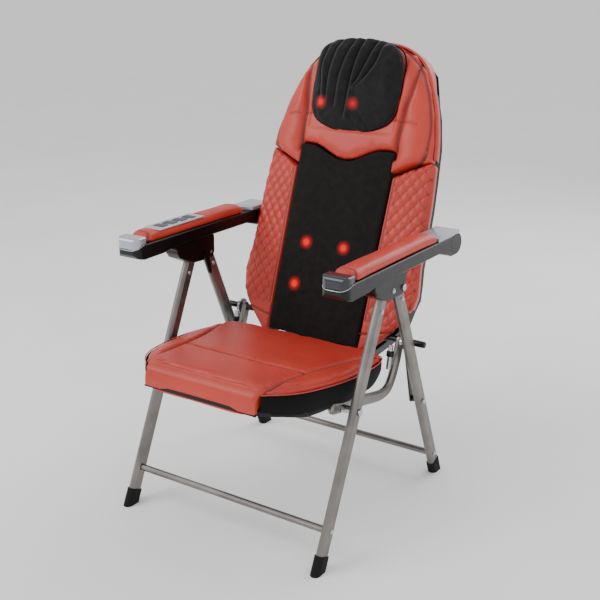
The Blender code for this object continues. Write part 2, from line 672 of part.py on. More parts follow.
def arm_plan(name, span):
    """A tall block with the armrest's plan: its front corners are round."""
    low, high = span
    turn = [(math.cos(angle), math.sin(angle)) for angle in (math.radians(90 * i / 5) for i in range(6))]
    front, rear = NOSE_Y + NOSE_RADIUS, 0.330
    left = [(low + NOSE_RADIUS * (1 - c), front - NOSE_RADIUS * s) for c, s in turn]
    right = [(high - NOSE_RADIUS * (1 - c), front - NOSE_RADIUS * s) for c, s in turn[::-1]]
    return flat_piece(name, [*left, *right, (high, rear), (low, rear)], 0.590, 0.680, Matrix())


def arms():
    step = [(0.240, 0.606), (0.194, 0.6185)]
    body_outline = [(-0.105, 0.6185), (-0.135, 0.6125), (-0.204, 0.6115), (-0.223, 0.6165), (-0.2325, 0.6255),
                    (-0.2335, 0.6365),
                    (-0.205, ARM_TOP_Z), (0.292, ARM_TOP_Z), *arc((0.2885, 0.6245), 0.0270, 75, -80, 8),
                    (0.262, 0.598), *step]
    nose = [(-0.2340, 0.6371), *arc((-0.2220, 0.6535), 0.0120, 190, 95, 5), (-0.1965, PAD_TOP_Z - 0.0005),
            (-0.1965, ARM_TOP_Z + GAP), (-0.205, ARM_TOP_Z + GAP)]
    for side in SIDES:
        word = SIDE_NAMES[side]
        span = mirrored_span(side, ARM_X)
        disc_low, disc_high = ARM_X[1] - 0.0030, ARM_X[1] + 0.0002
        arm = bevel(flat_piece("arm_" + word, body_outline, *span, SIDE), 0.003)
        boolean(arm, arm_plan("plan_" + word, span), "INTERSECT")
        bore(arm, ARM_PIVOT, *mirrored_span(side, (0.240, 0.320)), 0.008 + PIN_GAP)
        bore(arm, ARM_PIVOT, *mirrored_span(side, (disc_low, 0.320)), 0.0225)
        hang(arm, "arms", "black_plastic")
        cap = bevel(flat_piece("nose_cap_" + word, nose, *span, SIDE), 0.003)
        boolean(cap, arm_plan("cap_plan_" + word, span), "INTERSECT")
        hang(cap, "arms", "satin_silver")
        inner, outer = mirrored_span(side, (ARM_X[0] + 0.001, ARM_X[1] - 0.001))
        plan = [(inner, -0.1960), (outer, -0.1960), (outer, 0.1850), (inner, 0.1850)]
        pad = flat_piece("arm_pad_" + word, plan, ARM_TOP_Z + GAP, PAD_TOP_Z, Matrix())
        hang(bevel(pad, 0.007, 2), "arms", "coral_leather")
        low = disc_low + GAP
        profile = [(0, disc_high), (0.0220, disc_high), (0.0220, low), (0.008, low), (0.008, 0.2260),
                   (0, 0.2260)]
        hang(pin("arm_pivot_" + word, ARM_PIVOT, profile, side), "back", "black_plastic")


BUTTONS = {"power": -0.112, "program": -0.076, "heat": -0.040, "level": -0.004}
BUTTON_SIZE, BUTTON_TRAVEL = (0.030, 0.020), 0.0010
KEYPAD_Y, KEYPAD_X = (-0.142, 0.027), (-0.3045, -0.2540)


def key_outline(y, grow=0.0):
    """A key's rectangle in plan, or its pocket's."""
    half_x, half_y = BUTTON_SIZE[0] / 2 + grow, BUTTON_SIZE[1] / 2 + grow
    x = sum(KEYPAD_X) / 2
    return [(x + a * half_x, y + b * half_y) for a, b in ((-1, -1), (1, -1), (1, 1), (-1, 1))]


def keypad():
    """A silver panel on the right armrest with four long keys that sink into it."""
    low = PAD_TOP_Z + GAP
    top = low + 0.0045
    (x0, x1), (y0, y1) = KEYPAD_X, KEYPAD_Y
    panel = flat_piece("keypad", [(x0, y0), (x1, y0), (x1, y1), (x0, y1)], low, top, Matrix())
    bevel(panel, 0.0015, 1)
    floor = low + 0.0008
    rest = floor + BUTTON_TRAVEL + GAP
    for name, y in BUTTONS.items():
        pocket = flat_piece("pocket_" + name, key_outline(y, 0.0004), floor, top + 0.001, Matrix())
        boolean(panel, pocket)
        key = flat_piece("button_" + name, key_outline(y), rest, top + 0.0012, Matrix())
        hang(bevel(key, 0.0008, 1), "button_" + name, "dark_key")
    hang(panel, "arms", "satin_silver")


def release_levers():
    """A small tongue on the inner face of each hub."""
    for side in SIDES:
        outline = strap(LEVER_PIVOT, (0.034, 0.526), 0.0085, 0.0055)
        span = mirrored_span(side, LEVER_X)
        lever = flat_piece("release_lever_" + SIDE_NAMES[side], outline, *span, SIDE)
        stub = cross_rod("lever_stub", LEVER_PIVOT, *mirrored_span(side, (0.2490, 0.2570)), 0.004, 12)
        hang(boolean(lever, stub, "UNION"), "release_lever_" + SIDE_NAMES[side], "black_plastic")


def shade(piece):
    if piece.type == "MESH":
        piece.data.shade_smooth()
        piece.data.set_sharp_from_angle(angle=math.radians(35))


def build():
    material("satin_aluminium", "B4B2B0", 0.35, 1.0)
    material("satin_silver", "B9BBC0", 0.30, 1.0)
    material("steel", "A8A9AB", 0.30, 1.0)
    material("black_steel", "1E1E20", 0.40, 0.5)
    material("black_plastic", "17181B", 0.40)
    material("grey_plastic", "6B6C70", 0.45)
    material("rubber", "161617", 0.80)
    material("coral_leather", "E2614E", 0.45)
    material("dark_mesh", "2A2725", 0.90)
    material("charcoal_fabric", "26262A", 0.85)
    material("dark_key", "3A3C42", 0.50)

    carriage_place = on_back(0, CARRIAGE_V, -0.041).yz
    body("front_frame")
    body("rear_frame", REAR_PIVOT, "front_frame")
    body("seat", SEAT_PIVOT, "front_frame")
    body("links", HINGE, "seat")
    body("hinge_bar", HINGE, "seat")
    body("back", HINGE, "hinge_bar")
    body("massage_carriage", carriage_place, "back")
    body("arms", ARM_PIVOT, "back")
    for side in SIDES:
        body("rocker_" + SIDE_NAMES[side], carriage_place, "massage_carriage")
        body("neck_head_" + SIDE_NAMES[side], on_back(0, NECK_V, 0).yz, "back")
        body("release_lever_" + SIDE_NAMES[side], LEVER_PIVOT, "front_frame")
    for name, y in BUTTONS.items():
        body("button_" + name, (y, PAD_TOP_Z), "arms")

    front_frame()
    rear_frame()
    links()
    seat()
    hinge_bar()
    back_frame()
    cushions()
    massage_unit()
    arms()
    keypad()
    release_levers()
    for piece in [*CHAIR.objects, *CUTTERS.objects]:
        shade(piece)
    BODIES["front_frame"].location.y -= CENTRE_Y
    for cutter in CUTTERS.objects:
        cutter.location.y -= CENTRE_Y


build()
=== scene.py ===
# %% [markdown]
# A folding massage armchair
#
# The metal and plastic parts come ready-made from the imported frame. This lesson dresses them: it gives
# every part a finish, sews the upholstery, and adds the small trim that the frame leaves out.
# All places are in metres: +Z is up, the sitter faces -Y, and their left is +X.

# %% Load the frame
import math

import bmesh
import bpy
import numpy as np
from mathutils import Matrix, Vector


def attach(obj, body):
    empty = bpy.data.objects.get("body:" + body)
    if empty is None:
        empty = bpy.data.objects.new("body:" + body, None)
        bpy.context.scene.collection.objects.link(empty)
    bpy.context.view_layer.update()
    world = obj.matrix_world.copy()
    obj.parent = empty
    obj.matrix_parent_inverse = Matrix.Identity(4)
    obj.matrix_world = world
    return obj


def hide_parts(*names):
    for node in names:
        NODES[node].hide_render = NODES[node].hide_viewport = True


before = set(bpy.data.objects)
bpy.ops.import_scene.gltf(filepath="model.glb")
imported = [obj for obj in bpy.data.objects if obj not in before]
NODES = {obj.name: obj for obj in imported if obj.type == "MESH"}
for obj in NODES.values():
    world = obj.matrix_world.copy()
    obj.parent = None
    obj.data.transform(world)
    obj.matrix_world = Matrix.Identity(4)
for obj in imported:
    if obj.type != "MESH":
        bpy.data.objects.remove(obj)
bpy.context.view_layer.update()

# %% [markdown]
# Camera
#
# A chair of this height is best seen from a little above its armrests, from its front left. A long lens
# keeps the legs from spreading. The camera is placed first, so that all later looks use one view.

# %% Camera
FOCAL_MM, SENSOR_MM = 59.62, 36.0
CAMERA_PLACE = (1.2721, -1.9211, 1.2422)
CAMERA_DOWN, CAMERA_ROLL, CAMERA_ROUND = 18.169, -0.06, 33.417

lens = bpy.data.cameras.new("studio_camera")
lens.lens = FOCAL_MM
lens.sensor_width = SENSOR_MM
camera = bpy.data.objects.new("studio_camera", lens)
camera.location = CAMERA_PLACE
camera.rotation_euler = [math.radians(turn) for turn in (90 - CAMERA_DOWN, CAMERA_ROLL, CAMERA_ROUND)]
bpy.context.scene.collection.objects.link(camera)
bpy.context.scene.camera = camera
print("camera looks down", CAMERA_DOWN, "degrees")

# %% [markdown]
# Colours and nodes
#
# Paint charts give colours as sRGB hex, and Blender mixes in linear light, so one function converts.
# A second small function adds a node, sets its values and joins its links, whatever its kind.

# %% Colour and node helpers
def linear(hex_colour):
    """The linear colour of an sRGB hex value."""
    channels = [int(hex_colour[i : i + 2], 16) / 255 for i in (0, 2, 4)]
    return (*[c / 12.92 if c <= 0.04045 else ((c + 0.055) / 1.055) ** 2.4 for c in channels], 1.0)


def add(tree, kind, values=None, links=None):
    """Adds a node. Values set its sockets or its own settings, and links join other nodes' outputs to it."""
    node = tree.nodes.new("ShaderNode" + kind)
    for name, value in (values or {}).items():
        if isinstance(name, int) or name in node.inputs:
            node.inputs[name].default_value = value
        else:
            setattr(node, name, value)
    for name, source in (links or {}).items():
        tree.links.new(source, node.inputs[name])
    return node


def finish_of(name, hex_colour, roughness, metallic=0.0, **sockets):
    """A new material with its base shader set, its node tree, and the object's own coordinates."""
    material = bpy.data.materials.new(name)
    material.use_nodes = True
    tree = material.node_tree
    shader = tree.nodes["Principled BSDF"]
    settings = {"Base Color": linear(hex_colour), "Roughness": roughness, "Metallic": metallic, **sockets}
    for socket, value in settings.items():
        shader.inputs[socket].default_value = value
    return material, tree, shader, add(tree, "TexCoord").outputs["Object"]


def shade_by(tree, shader, factor, stops):
    """Colours the surface by a factor, from (place, hex colour) stops."""
    ramp = add(tree, "ValToRGB", links={"Fac": factor})
    points = ramp.color_ramp.elements
    while len(points) < len(stops):
        points.new(0.5)
    for point, (place, hex_colour) in zip(points, stops):
        point.position = place
        point.color = linear(hex_colour)
    tree.links.new(ramp.outputs["Color"], shader.inputs["Base Color"])
    return ramp.outputs["Color"]


def relief(tree, shader, height, distance, strength=1.0, under=None):
    """Raises the surface by a height pattern, on top of an earlier relief."""
    links = {"Height": height}
    if under:
        links["Normal"] = under
    bump = add(tree, "Bump", {"Distance": distance, "Strength": strength}, links)
    tree.links.new(bump.outputs["Normal"], shader.inputs["Normal"])
    return bump.outputs["Normal"]


def vary(tree, shader, socket, factor, low, high):
    """Lets a pattern move one value of the finish between two limits."""
    spread = add(tree, "MapRange", {"To Min": low, "To Max": high}, {"Value": factor})
    tree.links.new(spread.outputs["Result"], shader.inputs[socket])


print("helpers ready; coral is", [round(value, 3) for value in linear("E2614E")[:3]])

# %% [markdown]
# Aluminium
#
# The legs are extruded aluminium tube with a satin anodised skin. Extrusion leaves hair-fine lines along
# the tube, so the noise that makes them is stretched along each leg's lean. The lines of a real tube are
# about 0.1 mm apart and are drawn at 1 mm here, which is the finest that shows from across a room.

# %% Aluminium finishes
FRONT_LEAN, REAR_LEAN = math.atan2(0.271, 0.597), -math.atan2(0.261, 0.597)


def extruded_aluminium(name, turn, stretch=(900.0, 900.0, 6.0)):
    """Satin anodised extrusion: soft wide glints, drawn out along the tube."""
    material, tree, shader, place = finish_of(name, "7F7B78", 0.32, 0.85)
    along = add(tree, "Mapping", {"Rotation": turn, "Scale": stretch}, {"Vector": place})
    lines = add(tree, "TexNoise", {"Scale": 1.0, "Detail": 2.0}, {"Vector": along.outputs["Vector"]})
    cloud = add(tree, "TexNoise", {"Scale": 14.0, "Detail": 3.0}, {"Vector": place})
    shade_by(tree, shader, cloud.outputs["Fac"], [(0.3, "736F6C"), (0.7, "8B8784")])
    vary(tree, shader, "Roughness", lines.outputs["Fac"], 0.28, 0.44)
    relief(tree, shader, lines.outputs["Fac"], 0.00015, 0.25)
    return material


front_leg_tube = extruded_aluminium("anodised_aluminium_front_legs", (FRONT_LEAN, 0, 0))
rear_leg_tube = extruded_aluminium("anodised_aluminium_rear_legs", (REAR_LEAN, 0, 0))
bar_tube = extruded_aluminium("anodised_aluminium_bars", (0, 0, 0), (6.0, 900.0, 900.0))


def turned_steel():
    """Zinc-plated steel of pins and bolts: brighter than the legs, with a faint blue cast."""
    material, tree, shader, place = finish_of("zinc_plated_steel", "C4C6C9", 0.26, 0.95)
    specks = add(tree, "TexNoise", {"Scale": 420.0, "Detail": 3.0}, {"Vector": place})
    shade_by(tree, shader, specks.outputs["Fac"], [(0.35, "A7A9AD"), (0.65, "D2D4D8")])
    vary(tree, shader, "Roughness", specks.outputs["Fac"], 0.20, 0.36)
    relief(tree, shader, specks.outputs["Fac"], 0.0001, 0.3)
    return material


def metallic_paint(name, dark, light, roughness):
    """Silver paint on moulded plastic: aluminium flakes about 0.3 mm apart under a clear coat."""
    clear_coat = {"Coat Weight": 0.5, "Coat Roughness": 0.12}
    material, tree, shader, place = finish_of(name, light, roughness, 0.55, **clear_coat)
    flakes = add(tree, "TexVoronoi", {"Scale": 1400.0}, {"Vector": place})
    shade_by(tree, shader, flakes.outputs["Distance"], [(0.1, dark), (0.8, light)])
    vary(tree, shader, "Roughness", flakes.outputs["Distance"], roughness - 0.05, roughness + 0.08)
    return material


zinc_steel = turned_steel()
silver_paint = metallic_paint("silver_lacquered_abs", "9296A4", "BFC3CE", 0.30)
graphite_paint = metallic_paint("graphite_lacquered_abs", "1B1D22", "34373E", 0.20)
print("metals:", front_leg_tube.name, zinc_steel.name, silver_paint.name)

# %% [markdown]
# Black and grey plastics, rubber
#
# The arms and hubs are moulded ABS with a spark-eroded texture: tiny rounded pits, about half a
# millimetre apart, which break the gloss into a soft sheen. The hinge parts are steel under black enamel,
# and the feet are plain matt rubber with dust in the grain.

# %% Plastics
def moulded(name, dark, light, roughness, pit_mm=0.6, depth_mm=0.05, specular=0.35):
    """Moulded plastic with a pitted skin, a little lighter where it is handled."""
    material, tree, shader, place = finish_of(name, dark, roughness, **{"Specular IOR Level": specular})
    pits = add(tree, "TexVoronoi", {"Scale": 1000.0 / pit_mm}, {"Vector": place})
    wear = add(tree, "TexNoise", {"Scale": 22.0, "Detail": 4.0}, {"Vector": place})
    shade_by(tree, shader, wear.outputs["Fac"], [(0.35, dark), (0.75, light)])
    vary(tree, shader, "Roughness", wear.outputs["Fac"], roughness - 0.06, roughness + 0.08)
    relief(tree, shader, pits.outputs["Distance"], depth_mm / 1000, 0.5)
    return material


black_abs = moulded("moulded_black_abs", "030304", "09090B", 0.32)
shell_abs = moulded("moulded_black_shell", "040405", "0B0B0D", 0.42)
grey_abs = moulded("moulded_grey_nylon", "55575B", "6E7075", 0.45)
key_abs = moulded("moulded_key_caps", "3B3E46", "4C505A", 0.42, 0.4)
black_enamel = moulded("black_enamelled_steel", "070708", "121214", 0.30, 1.2, 0.02)
foot_rubber = moulded("moulded_foot_rubber", "070707", "131314", 0.72, 0.9, 0.12, 0.25)
print("plastics:", black_abs.name, foot_rubber.name)

# %% [markdown]
# Leather, mesh and knit
#
# The covers are coral polyurethane leather, embossed with a pebble grain of about 1.4 mm and finished
# with a thin satin coat. The grain is a cell pattern, where the lines between cells sink. A broad noise
# shifts the colour a little, as stretched leather does. The panel over the rollers is a spacer mesh of
# dark yarn, and the neck pillow is a charcoal knit with a soft bloom of fibre ends.

# %% Soft finishes
CORAL_DEEP, CORAL, CORAL_PALE = "A82819", "BE3325", "CB4131"
# Painted shade: the deep coral that the leather is darkened to in the grooves of its seams and stitches.
SEAM_PAINTED_SHADE = "4E0F09"


def coral_leather(name, deep=CORAL_DEEP, mid=CORAL, pale=CORAL_PALE):
    """Satin polyurethane leather with an embossed pebble grain, darkened by painted shade in its seams."""
    top_coat = {"Coat Weight": 0.10, "Coat Roughness": 0.35}
    material, tree, shader, place = finish_of(name, mid, 0.44, **top_coat)
    broad = add(tree, "TexNoise", {"Scale": 5.0, "Detail": 4.0, "Roughness": 0.55}, {"Vector": place})
    leather = shade_by(tree, shader, broad.outputs["Fac"], [(0.25, deep), (0.5, mid), (0.8, pale)])
    # Painted shade: the attribute stored on each piece darkens the leather towards that deep coral where
    # seams and stitches sink.
    seam_shade_mask = add(tree, "Attribute", {"attribute_name": "painted_crease_shade"})
    dark = add(tree, "Mix", {"data_type": "RGBA", 7: linear(SEAM_PAINTED_SHADE)},
               {0: seam_shade_mask.outputs["Fac"], 6: leather})
    tree.links.new(dark.outputs[2], shader.inputs["Base Color"])
    warp = add(tree, "TexNoise", {"Scale": 260.0, "Detail": 1.0}, {"Vector": place})
    pebbles = add(tree, "TexVoronoi", {"Scale": 700.0, "feature": "DISTANCE_TO_EDGE"}, {"Vector": place})
    grain = add(tree, "MapRange", {"From Max": 0.25}, {"Value": pebbles.outputs["Distance"]})
    vary(tree, shader, "Roughness", warp.outputs["Fac"], 0.36, 0.54)
    waves = relief(tree, shader, warp.outputs["Fac"], 0.0003, 0.35)
    relief(tree, shader, grain.outputs["Result"], 0.00022, 0.30, waves)
    return material


def glow_spots(tree, shader, place, spots, radius):
    """Red lamps shining through cloth: a warm round patch round each place, brightest in its middle."""
    total = None
    for spot in spots:
        away = add(tree, "VectorMath", {"operation": "DISTANCE", 1: spot}, {0: place})
        soft = {"interpolation_type": "SMOOTHERSTEP", "From Min": radius, "From Max": 0.0}
        glow = add(tree, "MapRange", soft, {"Value": away.outputs["Value"]}).outputs["Result"]
        if total is None:
            total = glow
        else:
            total = add(tree, "Math", {"operation": "MAXIMUM"}, {0: total, 1: glow}).outputs[0]
    ramp = add(tree, "ValToRGB", links={"Fac": total})
    ramp.color_ramp.elements[0].color = (0, 0, 0, 1)
    ramp.color_ramp.elements[1].color = linear("E81710")
    ramp.color_ramp.elements.new(0.55).color = linear("8E0A08")
    tree.links.new(ramp.outputs["Color"], shader.inputs["Emission Color"])
    shader.inputs["Emission Strength"].default_value = 1.7


def woven(name, dark, light, pitch_mm, turn, spots, radius, sheen):
    """Yarn that crosses at the given pitch, with lamps behind it and painted shade in the valleys of its
    pleats.
    """
    fibre = {"Sheen Weight": sheen, "Sheen Roughness": 0.5, "Specular IOR Level": 0.25}
    material, tree, shader, place = finish_of(name, dark, 0.86, **fibre)
    laid = add(tree, "Mapping", {"Rotation": turn}, {"Vector": place})
    yarn = 2 * math.pi / 20 / (pitch_mm / 1000)
    warp, weft = [add(tree, "TexWave", {"Scale": yarn, "Distortion": 0.6, "bands_direction": way},
                      {"Vector": laid.outputs["Vector"]}) for way in "XY"]
    cross = add(tree, "Math", {"operation": "MULTIPLY"}, {0: warp.outputs["Fac"], 1: weft.outputs["Fac"]})
    slub = add(tree, "TexNoise", {"Scale": 60.0, "Detail": 4.0}, {"Vector": place})
    mixed = add(tree, "Math", {"operation": "MULTIPLY_ADD", 1: 0.55},
                {0: cross.outputs[0], 2: slub.outputs["Fac"]})
    cloth = shade_by(tree, shader, mixed.outputs[0], [(0.35, dark), (1.0, light)])
    # Painted shade: the attribute stored on the pillow darkens the knit nearly to black in the valleys of its
    # pleats.
    fold_shade_mask = add(tree, "Attribute", {"attribute_name": "painted_crease_shade"})
    shade = add(tree, "Mix", {"data_type": "RGBA", 7: linear("020202")}, {0: fold_shade_mask.outputs["Fac"], 6: cloth})
    tree.links.new(shade.outputs[2], shader.inputs["Base Color"])
    relief(tree, shader, cross.outputs[0], 0.0006, 0.6)
    glow_spots(tree, shader, place, spots, radius)
    return material


print("coral grain is", round(1000 / 700, 2), "mm")

# %% [markdown]
# Where things are
#
# The back leans, so its pieces are drawn on a flat drawing board that leans with it: u across, v up the
# back, n forward of the mesh panel. The seat has a board of its own.

# %% Drawing boards of the back and the seat
CENTRE_Y = 0.06296
BACK_LEAN, SEAT_TILT = math.radians(20.17), math.radians(4.8)
BACK = Matrix.Translation((0, 0.1195 - CENTRE_Y, 0.373)) @ Matrix.Rotation(math.pi / 2 - BACK_LEAN, 4, "X")
SEAT = Matrix.Translation((0, -0.310 - CENTRE_Y, 0.417)) @ Matrix.Rotation(-SEAT_TILT, 4, "X")
BACK_EDGE = np.array([
    (0.120, -0.030), (0.148, -0.018), (0.183, 0.018), (0.214, 0.052), (0.2385, 0.090), (0.2525, 0.140),
    (0.2500, 0.180), (0.2455, 0.220), (0.2440, 0.290), (0.2425, 0.360), (0.2370, 0.440), (0.2300, 0.520),
    (0.2140, 0.595), (0.1940, 0.650), (0.1690, 0.698), (0.1350, 0.733), (0.0800, 0.757), (0.0000, 0.764),
])


def smoothstep(low, high, value):
    """0 below low, 1 above high, and an even curve between."""
    share = np.clip((np.asarray(value, float) - low) / (high - low), 0, 1)
    return share * share * (3 - 2 * share)


def bump_at(value, middle, width):
    """A rounded bump of height 1."""
    return np.exp(-(((np.asarray(value, float) - middle) / width) ** 2))


def distance_to(path, u, v):
    """How far each point (u, v) is from a drawn line."""
    points = np.stack([u, v], 1)
    nearest = np.full(len(points), 9.0)
    for start, end in zip(np.array(path, float)[:-1], np.array(path, float)[1:]):
        along = end - start
        share = np.clip((points - start) @ along / (along @ along), 0, 1)
        nearest = np.minimum(nearest, np.linalg.norm(points - start - share[:, None] * along, axis=1))
    return nearest


def smooth_path(points, steps=6):
    """A Catmull-Rom curve through the points."""
    ends = [points[0], *points, points[-1]]
    curve = []
    for p, q, r, s in zip(*[np.array(ends[k : len(ends) - 3 + k], float) for k in range(4)]):
        for step in range(steps):
            t = step / steps
            bend, twist = 2 * p - 5 * q + 4 * r - s, 3 * q - p - 3 * r + s
            curve.append(0.5 * (2 * q + (r - p) * t + bend * t**2 + twist * t**3))
    return np.array([*curve, points[-1]])


def mesh_half(v):
    """Half the width of the mesh panel."""
    return 0.131 + 0.006 * np.asarray(v, float) / 0.484


print("back stands", round((BACK @ Vector((0, 0.764, 0))).z, 3), "m high")

# %% [markdown]
# Padding
#
# A cushion is foam under a cover that is sewn tight: it swells between its seams and pulls in at its
# edges. Here each one starts as a copy of its plain solid and is remeshed into small even squares, and the
# seat, head, pillow and pads are blown up a little by a cloth simulation. Seams, channels and pleats are
# pressed in afterwards, because a remesh would wipe them out.

# %% Padding helpers
def only(piece):
    """Selects one piece and nothing else."""
    bpy.ops.object.select_all(action="DESELECT")
    piece.select_set(True)
    bpy.context.view_layer.objects.active = piece


def apply_modifier(piece, kind, **settings):
    """Adds a modifier, sets it and applies it."""
    only(piece)
    modifier = piece.modifiers.new(kind.lower(), kind)
    for name, value in settings.items():
        setattr(modifier, name, value)
    bpy.ops.object.modifier_apply(modifier=modifier.name)


def foam_block(name, node, board, voxel=0.005, extra=None):
    """A copy of a soft solid on its drawing board, joined with any extra block and remeshed evenly."""
    piece = bpy.data.objects.new(name, NODES[node].data.copy())
    bpy.context.scene.collection.objects.link(piece)
    piece.data.materials.clear()
    piece.data.transform(board.inverted())
    if extra:
        block = bmesh.new()
        block.from_mesh(piece.data)
        low, high = Vector(extra[0]), Vector(extra[1])
        place = Matrix.Translation((low + high) / 2) @ Matrix.Diagonal((*(high - low), 1))
        bmesh.ops.create_cube(block, size=1, matrix=place)
        block.to_mesh(piece.data)
        block.free()
    only(piece)
    bpy.ops.object.mode_set(mode="EDIT")
    bpy.ops.mesh.select_all(action="SELECT")
    bpy.ops.mesh.remove_doubles(threshold=0.00001)
    bpy.ops.object.mode_set(mode="OBJECT")
    apply_modifier(piece, "REMESH", mode="VOXEL", voxel_size=voxel)
    return piece


def corners(piece):
    """All corner points of a piece as an array."""
    flat = np.empty(len(piece.data.vertices) * 3)
    piece.data.vertices.foreach_get("co", flat)
    return flat.reshape(-1, 3)


def move_corners(piece, places):
    piece.data.vertices.foreach_set("co", np.asarray(places, float).ravel())
    piece.data.update()


def swell(piece, pressure, cap):
    """Blows the cover up with a cloth simulation and lets no point move further than the cap."""
    before = corners(piece)
    only(piece)
    cloth = piece.modifiers.new("cover", "CLOTH")
    cloth.settings.quality = 5
    cloth.settings.use_pressure = True
    cloth.settings.uniform_pressure_force = pressure
    cloth.settings.tension_stiffness = cloth.settings.compression_stiffness = 25
    cloth.settings.bending_stiffness = 1.0
    cloth.settings.effector_weights.gravity = 0
    cloth.collision_settings.use_collision = False
    for step in range(1, 21):
        bpy.context.scene.frame_set(step)
    bpy.ops.object.modifier_apply(modifier=cloth.name)
    bpy.context.scene.frame_set(1)
    moved = corners(piece) - before
    length = np.linalg.norm(moved, axis=1, keepdims=True)
    move_corners(piece, before + moved * np.minimum(1, cap / np.maximum(length, 1e-9)))


def paint_crease_shade(piece, depth):
    """Stores how deep in a seam or a pleat each point lies, from 0 to 1, as the share of painted shade that
    the leather and the knit darken by.
    """
    painted_crease_shade = piece.data.attributes.new("painted_crease_shade", "FLOAT", "POINT")
    painted_crease_shade.data.foreach_set("value", np.clip(depth, 0, 1))


def finer(piece):
    """One level of subdivision, which rounds what the remesh left square."""
    apply_modifier(piece, "SUBSURF", levels=1, render_levels=1)


def finished(piece, board, material, body, nodes=()):
    """Puts a piece in place, shades it smooth and tells the frame what it is."""
    piece.data.transform(board)
    piece.data.materials.clear()
    piece.data.materials.append(material)
    piece.data.shade_smooth()
    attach(piece, body)
    if nodes:
        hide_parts(*nodes)
    print(piece.name, len(piece.data.polygons), "faces")
    return piece


# %% [markdown]
# Seat cushion
#
# A wide middle panel runs from the back to the front edge and drops over it as a lip. Two wings flank it,
# and a cross seam holds the middle down. The lip is a block joined to the cushion before the remesh, so
# that the cover runs over the edge in one piece.

# %% Seat cushion
LIP_HALF = 0.157
SEAT_SIDE_SEAM = [(0.157, -0.034), (0.160, -0.012), (0.163, 0.030), (0.166, 0.090), (0.176, 0.180),
                  (0.194, 0.270), (0.216, 0.345), (0.236, 0.400)]
SEAT_SIDE_LINE = [(0.246, 0.200), (0.246, 0.300), (0.222, 0.085), (0.186, 0.018)]
SEAT_CROSS_SEAM = [(-0.172, 0.148), (-0.090, 0.138), (0.000, 0.134), (0.090, 0.138), (0.172, 0.148)]

seat_leather = coral_leather("coral_seat_leather")
seat_cover = foam_block("seat_cushion_cover", "seat_cushion", SEAT,
                        extra=((-LIP_HALF, -0.0315, -0.0565), (LIP_HALF, -0.0200, -0.030)))
swell(seat_cover, 3.0, 0.007)
finer(seat_cover)


def drawn_back(y):
    """Draws the front of the seat back, as the tight cover does."""
    return y + 0.0165 * smoothstep(0.05, -0.03, y)


def shape_seat(places):
    """Crowns the cushion, sinks its seams, lays painted shade along them and draws its sides in under the
    welt.
    """
    x, y, z = places.T.copy()
    reach = np.minimum(distance_to(SEAT_SIDE_LINE, np.abs(x), y), 0.08)
    top = smoothstep(-0.030, -0.004, z)
    side = smoothstep(0.150, 0.162, np.abs(x))
    rim = np.maximum(side, smoothstep(0.370, 0.392, y))
    painted_shade_depths = np.zeros(len(x))
    for depth, width, seam in ((0.0072, 0.0052, SEAT_SIDE_SEAM), (0.0034, 0.0042, SEAT_CROSS_SEAM)):
        away = distance_to(smooth_path(seam), np.abs(x) if seam is SEAT_SIDE_SEAM else x, y)
        z -= top * depth * bump_at(away, 0, width)
        # Painted shade along the groove of each seam.
        painted_shade_depths += top * bump_at(away, 0, 0.0026)
        pull = bump_at(away, 0, 0.022) * np.sin(240 * y + 3 * np.sin(55 * x)) * np.sin(170 * x + 40 * y)
        z += top * 0.0006 * pull
    share = ((z + 0.030) / 0.030).clip(0, 1.05)
    z += rim * (0.030 * (1 - np.abs(1 - share) ** 2.4) - 0.030 - z).clip(0, 0.012)
    z -= top * 0.003 * side * (1 - smoothstep(0.0, 0.055, reach))
    z += top * 0.0030 * np.cos(0.5 * np.pi * np.clip(np.abs(x) / 0.16, 0, 1)) * smoothstep(0.40, 0.30, y)
    z += 0.0007 * top * (np.sin(31 * x + 1.3) * np.sin(23 * y) + 0.5 * np.sin(67 * x + 43 * y))
    front = smoothstep(-0.010, -0.020, y) * smoothstep(LIP_HALF + 0.004, LIP_HALF - 0.001, np.abs(x))
    roll = -0.0315 + 0.018 * (1 + z / 0.018).clip(0, 1) ** 2 - 0.0020 * bump_at(z, -0.038, 0.016)
    y += front * (roll - y)
    under = smoothstep(-0.0115, -0.0165, z) * side
    x -= np.sign(x) * 0.008 * under
    y += 0.008 * under * smoothstep(0.05, 0.0, y)
    return np.stack([x, drawn_back(y), z], 1), painted_shade_depths


places, painted_shade_depths = shape_seat(corners(seat_cover))
move_corners(seat_cover, places)
paint_crease_shade(seat_cover, painted_shade_depths)
finished(seat_cover, SEAT, seat_leather, "seat", ["seat_cushion"])

# %% [markdown]
# Side panels of the back
#
# Each side panel is quilted: the cover is stitched to a thin foam in diamonds 26 mm wide, and every
# diamond puffs up between its stitches. A smooth strip runs beside the mesh, and another, behind a cross
# seam, at the foot. The quilting is too fine to simulate, so it is a height pattern on an even mesh.

# %% Quilted side panels
QUILT_WIDE, QUILT_HIGH = 0.026, 0.036
PANEL_FOOT_SEAM = [(0.110, 0.030), (0.146, 0.034), (0.187, 0.044), (0.235, 0.060)]
back_leather = coral_leather("coral_back_leather")


def diamonds(u, v):
    """Height from 0 on a stitch line to 1 in the middle of a diamond."""
    rising, falling = u / QUILT_WIDE + v / QUILT_HIGH, u / QUILT_WIDE - v / QUILT_HIGH
    return np.sqrt(np.abs(np.sin(math.pi * rising) * np.sin(math.pi * falling)))


def edge_drop(u, v, reach, fall):
    """How far a cover has rolled back near the outline of the back."""
    away = np.clip(distance_to(BACK_EDGE, np.abs(u), v) / reach, 0, 1)
    return fall * (1 - away) ** 2


